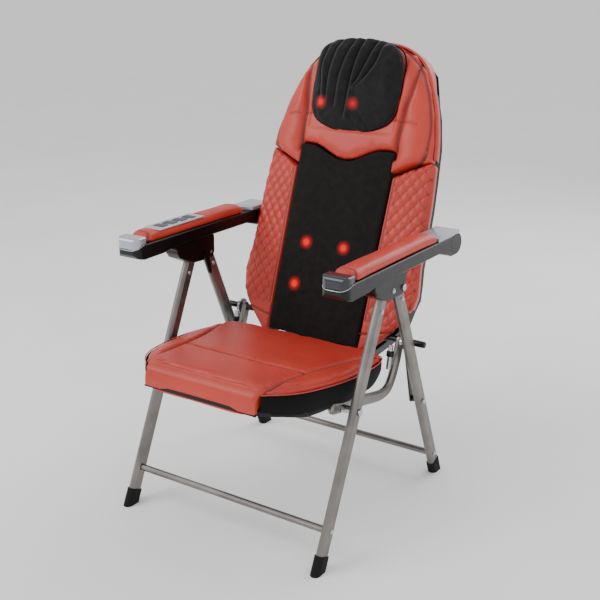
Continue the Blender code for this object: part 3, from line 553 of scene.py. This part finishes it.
def shape_side_panel(places):
    """Slopes the panel back to its outer edge, puffs the diamonds and sinks its seams, with painted shade in
    the stitch lines and seams.
    """
    u, v, n = places.T.copy()
    across = np.abs(u) - mesh_half(v)
    standing = smoothstep(0.050, 0.170, v)
    height = -0.012 * standing * (across / 0.11).clip(0, 1) ** 1.5 - edge_drop(u, v, 0.018, 0.009)
    height += 0.003 * bump_at(across, 0.010, 0.010) - 0.005 * bump_at(across, -0.001, 0.004)
    quilted = smoothstep(0.011, 0.016, across) * smoothstep(0.058, 0.066, v)
    puff = diamonds(np.abs(u), v)
    height += 0.0042 * quilted * (puff - 0.75)
    # Painted shade in the stitch lines between the diamonds, in the groove beside the mesh and along the two
    # seams below.
    painted_shade_depths = 0.75 * quilted * (1 - smoothstep(0.0, 0.42, puff)) + bump_at(across, -0.001, 0.003)
    for seam in ([(0.1425, 0.066), (0.1475, 0.440)], PANEL_FOOT_SEAM):
        away = distance_to(seam, np.abs(u), v)
        height -= 0.0032 * bump_at(away, 0, 0.003)
        painted_shade_depths += 0.8 * bump_at(away, 0, 0.0020)
    height -= 0.006 * bump_at(distance_to(WING_SEAM[:5], np.abs(u), v), 0, 0.006)
    n += height * smoothstep(-0.042, -0.004, n)
    return np.stack([u, v, n], 1), painted_shade_depths


WING_SEAM = smooth_path([(0.136, 0.428), (0.158, 0.4385), (0.180, 0.450), (0.203, 0.463), (0.216, 0.487),
                         (0.2160, 0.515)], 4)
for side, word in ((1, "left"), (-1, "right")):
    panel = foam_block("side_panel_" + word, "bolster_" + word, BACK, 0.004)
    finer(panel)
    places, painted_shade_depths = shape_side_panel(corners(panel))
    move_corners(panel, places)
    paint_crease_shade(panel, painted_shade_depths)
    finished(panel, BACK, back_leather, "back", ["bolster_" + word])

# %% [markdown]
# Head section
#
# The upper back is one padded yoke with two wings that roll forward round the sitter's shoulders. A deep
# seam divides wing from yoke, and a second seam follows the outer edge down into the wing's round lower
# corner. The yoke dips where the mesh panel meets it.

# %% Head section
YOKE_SEAM = smooth_path([(0.1375, 0.470), (0.138, 0.5206), (0.1409, 0.5837), (0.149, 0.6351),
                         (0.1542, 0.6871), (0.1511, 0.7250), (0.1480, 0.7420)])
EDGE_SEAM = smooth_path([(0.2165, 0.500), (0.2145, 0.545), (0.2020, 0.600), (0.1830, 0.650), (0.1600, 0.692),
                         (0.1280, 0.722), (0.1000, 0.738)])
GATHERS = [[(0.150, 0.560), (0.185, 0.556)], [(0.118, 0.563), (0.136, 0.560)]]

head = foam_block("head_section_cover", "head_section", BACK)
swell(head, 2.5, 0.005)
finer(head)


def shape_head(places):
    """Rolls the wings, sinks the seams and keeps the yoke low behind the neck pillow, with painted shade in
    the seams and gathers.
    """
    u, v, n = places.T.copy()
    across = np.abs(u)
    yoke = distance_to(YOKE_SEAM, across, v)
    behind_pillow = smoothstep(0.130, 0.118, across) * smoothstep(0.515, 0.535, v)
    wing = smoothstep(0.140, 0.165, across) * smoothstep(0.76, 0.70, v)
    height = 0.0045 * wing - edge_drop(u, v, 0.060, 0.024) - 0.004 * behind_pillow
    height += 0.0025 * (1 - behind_pillow) * smoothstep(0.13, 0.0, across)
    inside = distance_to(BACK_EDGE, across, v)
    height -= 0.0110 * bump_at(yoke, 0, 0.0070) * (0.2 + 0.8 * smoothstep(0.0, 0.035, inside))
    edge = distance_to(EDGE_SEAM, across, v)
    height -= 0.0024 * bump_at(edge, 0, 0.0034)
    lower = distance_to(WING_SEAM, across, v)
    low_part = smoothstep(0.515, 0.475, v)
    height -= 0.010 * (1 - smoothstep(0, 0.012, lower)) ** 2 * smoothstep(0.130, 0.142, across) * low_part
    # Painted shade along the yoke, edge and wing seams, and a lighter painted shade in the gathers.
    painted_shade_depths = bump_at(yoke, 0, 0.0034) + 0.9 * bump_at(edge, 0, 0.0022) + bump_at(lower, 0, 0.0035) * low_part
    for gather in GATHERS:
        away = distance_to(gather, across, v)
        height -= 0.0020 * bump_at(away, 0, 0.003)
        painted_shade_depths += 0.5 * bump_at(away, 0, 0.0018)
    height += 0.0010 * np.sin(90 * v + 30 * across) * bump_at(yoke, 0.012, 0.012)
    n += height * smoothstep(-0.042, 0.002, n)
    return np.stack([u, v, n], 1), painted_shade_depths


places, painted_shade_depths = shape_head(corners(head))
move_corners(head, places)
paint_crease_shade(head, painted_shade_depths)
finished(head, BACK, back_leather, "back", ["head_section"])

# %% [markdown]
# Mesh panel
#
# The rollers press through a thin spacer mesh, stretched flat between the side panels. It crowns a few
# millimetres over the foam and is tucked in along its edges. Four small red lamps glow through it, at the
# rollers, and two more through the neck pillow.

# %% Mesh panel
LAMP_RADIUS = 0.024
ROLLER_LAMPS = [(-0.062, 0.2335, 0.004), (0.048, 0.2335, 0.004),
                (-0.074, 0.1245, 0.004), (0.060, 0.1245, 0.004)]
PILLOW_LAMPS = [(-0.089, 0.588, 0.030), (0.007, 0.589, 0.036)]

roller_mesh = woven("dark_spacer_mesh", "060505", "1C1816", 2.4, (math.pi / 2 - BACK_LEAN, 0, 0),
                    [BACK @ Vector(lamp) for lamp in ROLLER_LAMPS], LAMP_RADIUS, 0.03)
panel = foam_block("roller_mesh_panel", "mesh_panel", BACK, 0.0025)


def shape_mesh_panel(places):
    """Crowns the mesh over its foam and tucks its edges in."""
    u, v, n = places.T.copy()
    inset = mesh_half(v) - np.abs(u)
    n += 0.0045 * smoothstep(0.0, 0.060, inset) * smoothstep(0.0, 0.05, v) - 0.0035 * bump_at(inset, 0, 0.004)
    n += 0.0005 * np.sin(38 * u + 9 * v) * np.sin(17 * v)
    return np.stack([u, v, n], 1)


move_corners(panel, shape_mesh_panel(corners(panel)))
finished(panel, BACK, roller_mesh, "back", ["mesh_panel"])

# %% [markdown]
# Neck pillow
#
# The pillow is a loose knit bag over the kneading heads, sewn to the yoke round its foot and thrown over
# the top of the back. Its cover is gathered, so pleats run down from the top and close up towards the
# lower right shoulder, while the other half stays smooth. The bag is swelled first and pleated after.

# %% Neck pillow
PILLOW_EDGE = smooth_path([(0.0, 0.757), (0.062, 0.751), (0.106, 0.733), (0.122, 0.700), (0.124, 0.640),
                           (0.122, 0.585), (0.100, 0.548), (0.045, 0.527), (0.0, 0.522)], 4)
VALLEYS = [
    [(-0.078, 0.757), (-0.094, 0.708), (-0.101, 0.670), (-0.094, 0.609)],
    [(-0.046, 0.757), (-0.066, 0.700), (-0.076, 0.650), (-0.077, 0.600)],
    [(-0.010, 0.757), (-0.031, 0.700), (-0.045, 0.650), (-0.050, 0.585)],
    [(0.016, 0.757), (-0.003, 0.690), (-0.013, 0.640), (-0.020, 0.560)],
    [(0.052, 0.757), (0.034, 0.705), (0.014, 0.662), (-0.004, 0.634)],
    [(0.071, 0.754), (0.058, 0.700), (0.036, 0.662), (0.008, 0.634)],
    [(-0.014, 0.572), (0.014, 0.545), (0.048, 0.524)],
    [(0.028, 0.565), (0.046, 0.544), (0.056, 0.526)],
    [(-0.105, 0.575), (-0.096, 0.552), (-0.086, 0.540)],
]
PLEAT_WIDTH, PLEAT_DEPTH = 0.0072, 0.0088

pillow_knit = woven("charcoal_knit", "09090B", "1D1D20", 1.8, (math.pi / 2 - BACK_LEAN, 0, math.radians(20)),
                    [BACK @ Vector(lamp) for lamp in PILLOW_LAMPS], LAMP_RADIUS, 0.15)
pillow = foam_block("neck_pillow_cover", "neck_pillow", BACK, 0.004)
swell(pillow, 3.0, 0.006)
finer(pillow)


def shape_pillow(places):
    """Thins the pillow towards its foot, rounds it across and folds its pleats, with painted shade in their
    valleys.
    """
    u, v, n = places.T.copy()
    fullness = (0.014 + 0.025 * smoothstep(0.530, 0.720, v)) * smoothstep(0.505, 0.560, v)
    fullness *= 1 - 0.45 * (np.abs(u) / 0.127).clip(0, 1.05) ** 5
    lift = ((n - 0.0045) / 0.0375).clip(0, 1.2)
    painted_shade_depths = np.zeros(len(u))
    for number, valley in enumerate(VALLEYS):
        path = smooth_path(valley)
        away = distance_to(path, u, v)
        ridge = distance_to(path + np.array([0.0085, 0.0]), u, v)
        depth = PLEAT_DEPTH * (0.55 if number in (6, 7, 8) else 1.0) * (1 + 0.25 * math.sin(5 * number))
        fullness -= depth * np.exp(-away / (0.9 * PLEAT_WIDTH)) * (0.45 + 0.55 * smoothstep(0.56, 0.70, v))
        fullness += 0.35 * depth * bump_at(ridge, 0, 1.2 * PLEAT_WIDTH)
        # Painted shade in the valley of each pleat.
        painted_shade_depths += 0.8 * bump_at(away, 0, 0.5 * PLEAT_WIDTH)
    fullness += 0.0008 * np.sin(70 * u + 50 * v) * np.sin(45 * v - 20 * u)
    n = 0.0045 + lift * fullness.clip(0.002, 0.046)
    return np.stack([u, v, n], 1), painted_shade_depths


places, painted_shade_depths = shape_pillow(corners(pillow))
move_corners(pillow, places)
paint_crease_shade(pillow, painted_shade_depths)
finished(pillow, BACK, pillow_knit, "back", ["neck_pillow"])

# %% [markdown]
# Armrest pads
#
# Each pad is a narrow foam strip under the same leather, rounded over its top and at its front end, where
# a small end cap is sewn on.

# %% Armrest pads
PAD_FRONT_Y, PAD_BACK_Y, PAD_MIDDLE_X = -0.1960 - CENTRE_Y, 0.1850 - CENTRE_Y, 0.27925
PAD_HALF, PAD_TOP_Z = 0.0308, 0.666
arm_leather = coral_leather("coral_armrest_leather")


def shape_pad(places, side):
    """Crowns the pad, rounds its front in plan and sinks the seam of its end cap, with painted shade along
    it.
    """
    x, y, z = places.T.copy()
    across = (x - side * PAD_MIDDLE_X) / PAD_HALF
    top = smoothstep(0.650, 0.662, z)
    from_front, from_back = y - PAD_FRONT_Y, PAD_BACK_Y - y
    x -= across * PAD_HALF * 0.42 * (1 - smoothstep(0, 0.028, from_front)) ** 2
    z += top * (0.0035 * (1 - across**2) - 0.0035 * np.abs(across) ** 3)
    z -= top * 0.006 * (1 - smoothstep(0, 0.022, from_front)) ** 2
    z -= top * 0.004 * (1 - smoothstep(0, 0.020, from_back)) ** 2
    seam = [(-1.0, 0.012), (-0.5, 0.019), (0.5, 0.019), (1.0, 0.012)]
    away = distance_to([(a * PAD_HALF, b) for a, b in seam], across * PAD_HALF, from_front)
    z -= top * 0.0020 * bump_at(away, 0, 0.0024)
    z += top * 0.0004 * np.sin(60 * y + 2.0 * across) * np.sin(130 * x)
    if side < 0:
        past_end = (np.abs(y + CENTRE_Y + 0.0575) - 0.0845).clip(0)
        past_keypad = np.hypot((np.abs(x + PAD_MIDDLE_X) - 0.0252).clip(0), past_end)
        z = np.minimum(z, PAD_TOP_Z + 0.0002 + 0.006 * smoothstep(0.0, 0.012, past_keypad))
    # Returns the new places and the painted shade along the end cap seam.
    return np.stack([x, y, z], 1), bump_at(away, 0, 0.0018)


for side, word in ((1, "left"), (-1, "right")):
    pad = foam_block("armrest_pad_" + word, "arm_pad_" + word, Matrix(), 0.004)
    swell(pad, 3.0, 0.0025)
    finer(pad)
    places, painted_shade_depths = shape_pad(corners(pad), side)
    move_corners(pad, places)
    paint_crease_shade(pad, painted_shade_depths)
    finished(pad, Matrix(), arm_leather, "arms", ["arm_pad_" + word])

# %% [markdown]
# Side bands and piping
#
# A strip of leather closes the side of the back between its face and the black shell, and a black cloth
# boxing closes the side of the seat. Both are ribbons that follow an outline: each is drawn as a grid of
# points, and Solidify gives it the thickness of its cloth. Welts and piping are thin cords sewn along an
# edge, made from a curve.

# %% Band and piping helpers
def band(name, rows, thickness):
    """A ribbon through rows of points, with a real thickness."""
    rows = np.asarray(rows, float)
    count, wide = rows.shape[:2]
    faces = [(i * wide + j, (i + 1) * wide + j, (i + 1) * wide + j + 1, i * wide + j + 1)
             for i in range(count - 1) for j in range(wide - 1)]
    data = bpy.data.meshes.new(name)
    data.from_pydata(rows.reshape(-1, 3).tolist(), [], faces)
    piece = bpy.data.objects.new(name, data)
    bpy.context.scene.collection.objects.link(piece)
    only(piece)
    bpy.ops.object.mode_set(mode="EDIT")
    bpy.ops.mesh.select_all(action="SELECT")
    bpy.ops.mesh.normals_make_consistent(inside=False)
    bpy.ops.object.mode_set(mode="OBJECT")
    apply_modifier(piece, "SOLIDIFY", thickness=thickness, offset=0)
    bpy.ops.object.mode_set(mode="EDIT")
    bpy.ops.mesh.select_all(action="SELECT")
    bpy.ops.mesh.normals_make_consistent(inside=False)
    bpy.ops.object.mode_set(mode="OBJECT")
    return piece


def outward(path):
    """The direction that points out of an outline at each of its points."""
    along = np.gradient(path, axis=0)
    across = np.stack([along[:, 1], -along[:, 0]], 1)
    return across / np.linalg.norm(across, axis=1, keepdims=True)


def piping(name, places, radius, closed=False):
    """A thin sewn-in cord along a line of places."""
    curve = bpy.data.curves.new(name, "CURVE")
    curve.dimensions = "3D"
    curve.bevel_depth = radius
    curve.bevel_resolution = 2
    curve.use_fill_caps = True
    spline = curve.splines.new("POLY")
    spline.points.add(len(places) - 1)
    spline.use_cyclic_u = closed
    for point, place in zip(spline.points, places):
        point.co = (*place, 1)
    piece = bpy.data.objects.new(name, curve)
    bpy.context.scene.collection.objects.link(piece)
    only(piece)
    bpy.ops.object.convert(target="MESH")
    return bpy.context.object


# %% Bands of the back
BAND_REAR, BAND_THICK, DRAW_IN = -0.0700, 0.0014, 0.0125


def back_band(name, path, front, rear, draw_in, swelling=0.0016):
    """A leather strip round the side of the back, a little full in its middle and drawn in to the rear."""
    ways = outward(path)
    rows = []
    for (u, v), (out_u, out_v), n_front, n_rear, inward in zip(path, ways, front, rear, draw_in):
        row = []
        for share in np.linspace(0, 1, 9):
            out = 0.0004 + swelling * math.sin(math.pi * share) - 0.0045 * max(0, 1 - share / 0.12) ** 2
            out -= inward * share**1.3
            row.append((u + out * out_u, v + out * out_v, n_front + (n_rear - n_front) * share))
        rows.append(row)
    return band(name, rows, BAND_THICK)


outline = smooth_path([tuple(point) for point in BACK_EDGE], 6)
side_part = outline[(outline[:, 1] > 0.112) & (outline[:, 1] < 0.477)]
head_part = outline[outline[:, 1] >= 0.479]
for side, word in ((1, "left"), (-1, "right")):
    path = side_part * np.array([side, 1.0])
    standing = smoothstep(0.050, 0.170, path[:, 1])
    strip = back_band("side_band_" + word, path if side > 0 else path[::-1],
                      (-0.012 * standing - 0.0135)[::side], np.full(len(path), BAND_REAR),
                      np.full(len(path), DRAW_IN))
    finished(strip, BACK, back_leather, "back")

loop = np.concatenate([head_part, (head_part * np.array([-1.0, 1.0]))[-2::-1]])
rear = BAND_REAR - 0.016 * smoothstep(0.700, 0.745, loop[:, 1])
draw_in = DRAW_IN * smoothstep(0.720, 0.640, loop[:, 1])
strip = back_band("head_band", loop, np.full(len(loop), -0.0225), rear, draw_in)
finished(strip, BACK, back_leather, "back")

# %% [markdown]
# Boxing and welts of the seat
#
# Black cloth hides the foam on the sides of the seat, from the welt down to the pan. In the middle of the
# front the leather lip covers it, and a black binding closes the lip's lower edge.

# %% Seat boxing, welts and binding
def black_cloth():
    """Non-woven polyester: matt black with a faint felted mottle."""
    material, tree, shader, place = finish_of("black_boxing_cloth", "060607", 0.88,
                                              **{"Sheen Weight": 0.03, "Specular IOR Level": 0.2})
    felt = add(tree, "TexNoise", {"Scale": 340.0, "Detail": 5.0}, {"Vector": place})
    shade_by(tree, shader, felt.outputs["Fac"], [(0.35, "040405"), (0.7, "0E0E10")])
    relief(tree, shader, felt.outputs["Fac"], 0.0005, 0.5)
    return material


boxing_cloth = black_cloth()
CLOTH_THICK = 0.0012
SEAT_SIDE = smooth_path([(0.1585, -0.0215), (0.172, -0.002), (0.186, 0.018), (0.222, 0.085), (0.246, 0.200),
                         (0.246, 0.300), (0.236, 0.367), (0.218, 0.404), (0.190, 0.411)], 5)
SEAT_SIDE[:, 1] = drawn_back(SEAT_SIDE[:, 1])
BOXING_TOP, WELT_Z = -0.0105, -0.0085
PAN_EDGE_Y, PAN_EDGE_Z = [-0.02, 0.10, 0.16, 0.34, 0.41], [-0.0580, -0.0660, -0.0630, -0.0630, -0.0560]


def seat_side_rows(side):
    """Rows of the boxing, each from its top edge down to the pan."""
    ways = outward(SEAT_SIDE)
    drop = np.interp(SEAT_SIDE[:, 1], PAN_EDGE_Y, PAN_EDGE_Z)
    rows = []
    for (x, y), (out_x, out_y), low in zip(SEAT_SIDE, ways, drop):
        row = []
        for share in np.linspace(0, 1, 7):
            out = -0.0014 + 0.0030 * math.sin(math.pi * share) - 0.008 * share**2
            row.append((side * (x + out * out_x), y + out * out_y, BOXING_TOP + (low - BOXING_TOP) * share))
        rows.append(row)
    return rows if side > 0 else rows[::-1]


for side, word in ((1, "left"), (-1, "right")):
    boxing = band("seat_boxing_" + word, seat_side_rows(side), CLOTH_THICK)
    finished(boxing, SEAT, boxing_cloth, "seat")
    welt = [(side * (x + 0.0006), y - 0.0004, WELT_Z) for x, y in SEAT_SIDE]
    finished(piping("seat_welt_" + word, welt, 0.0015), SEAT, seat_leather, "seat")
binding = [(x, -0.0140, -0.0535) for x in np.linspace(0.004 - LIP_HALF, LIP_HALF - 0.004, 24)]
finished(piping("lip_binding", binding, 0.0024), SEAT, boxing_cloth, "seat")
pillow_ring = np.concatenate([PILLOW_EDGE, (PILLOW_EDGE * np.array([-1.0, 1.0]))[-2:0:-1]])
pillow_ring = [(u * 1.004, v, 0.0062) for u, v in pillow_ring]
finished(piping("pillow_piping", pillow_ring, 0.0019, True), BACK, boxing_cloth, "back")

# %% [markdown]
# Rivets
#
# Domed aluminium rivets hold the hubs and legs together. One dome is turned from a sphere that is cut in
# half and flattened, with a thin flange under it, and is then copied to every place, turned to face
# outwards.

# %% Rivets
def settle(piece):
    """Writes a piece's place, turn and size into its mesh."""
    only(piece)
    bpy.ops.object.transform_apply(location=True, rotation=True, scale=True)


def soften(piece, width, segments):
    """Rounds the hard edges of a piece."""
    sharp = math.radians(40)
    apply_modifier(piece, "BEVEL", width=width, segments=segments, limit_method="ANGLE", angle_limit=sharp)


def dome(radius):
    """A rivet head that stands on the ground at the origin and points up."""
    bpy.ops.object.select_all(action="DESELECT")
    bpy.ops.mesh.primitive_uv_sphere_add(segments=24, ring_count=12, radius=radius)
    bpy.ops.object.mode_set(mode="EDIT")
    bpy.ops.mesh.select_all(action="SELECT")
    bpy.ops.mesh.bisect(plane_co=(0, 0, 0), plane_no=(0, 0, 1), clear_inner=True, use_fill=True)
    bpy.ops.mesh.select_all(action="SELECT")
    bpy.ops.transform.resize(value=(1, 1, 0.5))
    bpy.ops.mesh.select_all(action="DESELECT")
    bpy.ops.mesh.primitive_cylinder_add(vertices=24, radius=1.25 * radius, depth=0.0008)
    bpy.ops.object.mode_set(mode="OBJECT")
    return bpy.context.object


RIVETS = [
    ("hub_rivet_outer", "front_frame", 0.2942, 0.0021, 0.5768, 1),
    ("front_leg_rivet_outer", "front_frame", 0.2828, -0.029, 0.5346, 1),
    ("front_leg_rivet_inner", "front_frame", 0.2632, -0.029, 0.5346, -1),
    ("rear_leg_rivet_outer", "rear_frame", 0.2828, 0.0667, 0.5387, 1),
    ("rear_leg_rivet_inner", "rear_frame", 0.2632, 0.0667, 0.5387, -1),
    ("link_rivet_inner", "rear_frame", 0.2632, 0.1979, 0.2380, -1),
    ("front_bar_rivet_outer", "front_frame", 0.2828, -0.2324, 0.0850, 1),
    ("rear_bar_rivet_outer", "rear_frame", 0.2828, 0.2758, 0.0600, 1),
]
pattern = dome(0.0047)
for name, body, x, y, z, facing in RIVETS:
    for side, word in ((1, "left"), (-1, "right")):
        rivet = bpy.data.objects.new(name + "_" + word, pattern.data.copy())
        bpy.context.scene.collection.objects.link(rivet)
        rivet.rotation_euler = (0, side * facing * math.pi / 2, 0)
        rivet.location = (side * x, y - CENTRE_Y, z)
        settle(rivet)
        finished(rivet, Matrix(), zinc_steel, body)
bpy.data.objects.remove(pattern)

# %% [markdown]
# Plates and rims of the armrests
#
# Behind each pad a flat silver plate covers the arm as far as its pivot. It is a box whose inner front
# corner is cut off at a slant. A bright rim frames the nose cap.

# %% Armrest plates
PLATE_LOW, PLATE_HIGH, PLATE_FRONT, PLATE_BACK = 0.6484, 0.6572, 0.187, 0.299
NOSE_Y, NOSE_RADIUS, RIM_FRONT_Z = -0.2345, 0.020, 0.6372
ARM_INNER_X, ARM_OUTER_X = 0.2473, 0.3112


def arm_plate(side, word):
    """The silver cover behind a pad, its front edge slanting back towards the sitter."""
    bpy.ops.object.select_all(action="DESELECT")
    middle = ((PLATE_FRONT + PLATE_BACK) / 2 - CENTRE_Y, (PLATE_LOW + PLATE_HIGH) / 2)
    bpy.ops.mesh.primitive_cube_add(size=1, location=(side * PAD_MIDDLE_X, *middle))
    plate = bpy.context.object
    plate.name = "arm_plate_" + word
    plate.scale = (2 * PAD_HALF + 0.0012, PLATE_BACK - PLATE_FRONT, PLATE_HIGH - PLATE_LOW)
    settle(plate)
    bpy.ops.object.mode_set(mode="EDIT")
    bpy.ops.mesh.select_all(action="SELECT")
    corner = (side * (PAD_MIDDLE_X + PAD_HALF), PLATE_FRONT - CENTRE_Y, 0)
    bpy.ops.mesh.bisect(plane_co=corner, plane_no=(side * -0.5, -1, 0), clear_outer=True, use_fill=True)
    bpy.ops.object.mode_set(mode="OBJECT")
    soften(plate, 0.0022, 3)
    finished(plate, Matrix(), silver_paint, "arms")
    bpy.ops.object.shade_smooth_by_angle(angle=math.radians(40))


def cap_rim(side, word):
    """A bright bead where the nose cap meets the arm."""
    turn = np.linspace(0, math.pi / 2, 7)
    inner = [(NOSE_RADIUS * (1 - math.cos(t)), NOSE_RADIUS * (1 - math.sin(t))) for t in turn]
    low_x, high_x, rear_y = ARM_INNER_X, ARM_OUTER_X, -0.206
    path = [(low_x, rear_y), *[(low_x + a, NOSE_Y + b) for a, b in inner],
            *[(high_x - a, NOSE_Y + b) for a, b in inner[::-1]], (high_x, rear_y)]
    slope = (0.6481 - RIM_FRONT_Z) / (rear_y - NOSE_Y)
    places = [(side * x, y - CENTRE_Y, RIM_FRONT_Z + slope * (y - NOSE_Y)) for x, y in path]
    finished(piping("nose_rim_" + word, places, 0.0009), Matrix(), zinc_steel, "arms")


for side, word in ((1, "left"), (-1, "right")):
    arm_plate(side, word)
    cap_rim(side, word)

# %% [markdown]
# Keypad
#
# Four long keys come with the frame. Between them sit pairs of small round keys. The dark window for
# the display at the front end is left out. None of the keys carries a sign.

# %% Keypad details
KEY_Z, KEY_HIGH, KEY_RADIUS = 0.6714, 0.0016, 0.0026


def small_key(name, x, y, radius):
    """A short round key with a softened rim."""
    bpy.ops.object.select_all(action="DESELECT")
    place = (x, y - CENTRE_Y, KEY_Z)
    bpy.ops.mesh.primitive_cylinder_add(vertices=28, radius=radius, depth=KEY_HIGH, location=place)
    key = bpy.context.object
    key.name = name
    settle(key)
    soften(key, 0.0004, 2)
    finished(key, Matrix(), key_abs, "arms")


for number, y in enumerate((-0.094, -0.058, -0.022)):
    for column, x in enumerate((-0.2865, -0.2793, -0.2720)):
        small_key(f"round_key_{number}{column}", x, y, KEY_RADIUS)

# %% [markdown]
# Recline struts
#
# A short silver strut with a black collar stands beside each rail, just ahead of the hinge bar. It is a
# cylinder whose ends are drawn in, with the collar as a wider ring about its middle.

# %% Recline struts
STRUT_TOP, STRUT_FOOT, STRUT_X = (0.1196, 0.3990), (0.1060, 0.3410), 0.2300


def strut_part(name, low, high, radius, x, material, edge):
    """A straight round piece between two shares of the strut's length."""
    foot, top = [Vector((x, y - CENTRE_Y, z)) for y, z in (STRUT_FOOT, STRUT_TOP)]
    start, end = foot.lerp(top, low), foot.lerp(top, high)
    bpy.ops.object.select_all(action="DESELECT")
    turned = (end - start).to_track_quat("Z", "Y").to_euler()
    bpy.ops.mesh.primitive_cylinder_add(vertices=32, radius=radius, depth=(end - start).length,
                                        location=(start + end) / 2, rotation=turned)
    part = bpy.context.object
    part.name = name
    settle(part)
    soften(part, edge, 3)
    finished(part, Matrix(), material, "seat")


for side, word in ((1, "left"), (-1, "right")):
    strut_part("strut_" + word, 0, 1, 0.0060, side * STRUT_X, zinc_steel, 0.0015)
    strut_part("strut_collar_" + word, 0.52, 0.76, 0.0092, side * STRUT_X, black_abs, 0.0020)

# %% [markdown]
# Finishes of the frame parts
#
# The frame's own parts keep their shapes and only get their finishes. Each name is matched to one finish.

# %% Frame finishes
FRAME_FINISHES = {
    "front_leg": front_leg_tube, "rear_leg_pin": zinc_steel, "rear_leg": rear_leg_tube,
    "front_crossbar": bar_tube, "rear_crossbar": bar_tube,
    "seat_rail": bar_tube, "seat_pivot_pin": zinc_steel, "link_bolt": zinc_steel,
    "recline_disc": zinc_steel, "lead_screw": zinc_steel, "link": black_enamel, "hinge_bar": black_enamel,
    "back_tube": black_enamel, "front_foot": foot_rubber, "rear_foot": foot_rubber, "hub": black_abs,
    "arm_pivot": black_abs, "arm": black_abs, "release_lever": black_abs, "seat_pan": shell_abs,
    "back_panel": shell_abs,
    "shell_side": shell_abs, "power_inlet": black_abs, "massage_carriage": grey_abs, "neck_unit": grey_abs,
    "rocker_arm": grey_abs, "neck_head": grey_abs,
    "nose_cap_left": graphite_paint, "nose_cap_right": silver_paint,
    "keypad": silver_paint, "button": key_abs,
}
replaced = {"seat_cushion", "bolster_left", "bolster_right", "head_section", "mesh_panel", "neck_pillow",
            "arm_pad_left", "arm_pad_right"}
for name, node in NODES.items():
    if name in replaced:
        continue
    best = max((start for start in FRAME_FINISHES if name.startswith(start)), key=len)
    node.data.materials.clear()
    node.data.materials.append(FRAME_FINISHES[best])
print("finished", len(NODES) - len(replaced), "frame parts")

# %% [markdown]
# Floor and light
#
# A plain pale floor runs to the horizon, and three large soft lights stand round the chair: a key light
# high on the left, a wide fill from the right and a low rim from behind. The world adds an even white.

# %% Floor
def floor_finish():
    """Matt white studio floor with a barely visible mottle."""
    material, tree, shader, place = finish_of("matt_studio_floor", "FBFBFA", 0.9)
    mottle = add(tree, "TexNoise", {"Scale": 3.0, "Detail": 2.0}, {"Vector": place})
    shade_by(tree, shader, mottle.outputs["Fac"], [(0.3, "F9F9F8"), (0.7, "FDFDFC")])
    return material


bpy.ops.object.select_all(action="DESELECT")
bpy.ops.mesh.primitive_plane_add(size=240, location=(0, 0, -0.0005))
floor = bpy.context.object
floor.name = "studio_floor"
settle(floor)
floor.data.materials.append(floor_finish())

# %% Light
LIGHTS = [
    ("key_light", (-1.9, -2.3, 2.9), 2.2, 64.0),
    ("fill_light", (2.6, -1.6, 1.7), 2.4, 12.0),
    ("rim_light", (0.6, 2.6, 2.4), 2.0, 40.0),
]
for name, place, size, power in LIGHTS:
    data = bpy.data.lights.new(name, "AREA")
    data.size = size
    data.energy = power
    lamp = bpy.data.objects.new(name, data)
    lamp.location = place
    lamp.rotation_euler = (Vector((0, 0, 0.55)) - lamp.location).to_track_quat("-Z", "Y").to_euler()
    bpy.context.scene.collection.objects.link(lamp)
world = bpy.data.worlds.new("white_studio")
world.use_nodes = True
world.node_tree.nodes["Background"].inputs["Color"].default_value = (1, 1, 1, 1)
world.node_tree.nodes["Background"].inputs["Strength"].default_value = 0.9
bpy.context.scene.world = world
print("lights:", [name for name, *_ in LIGHTS])
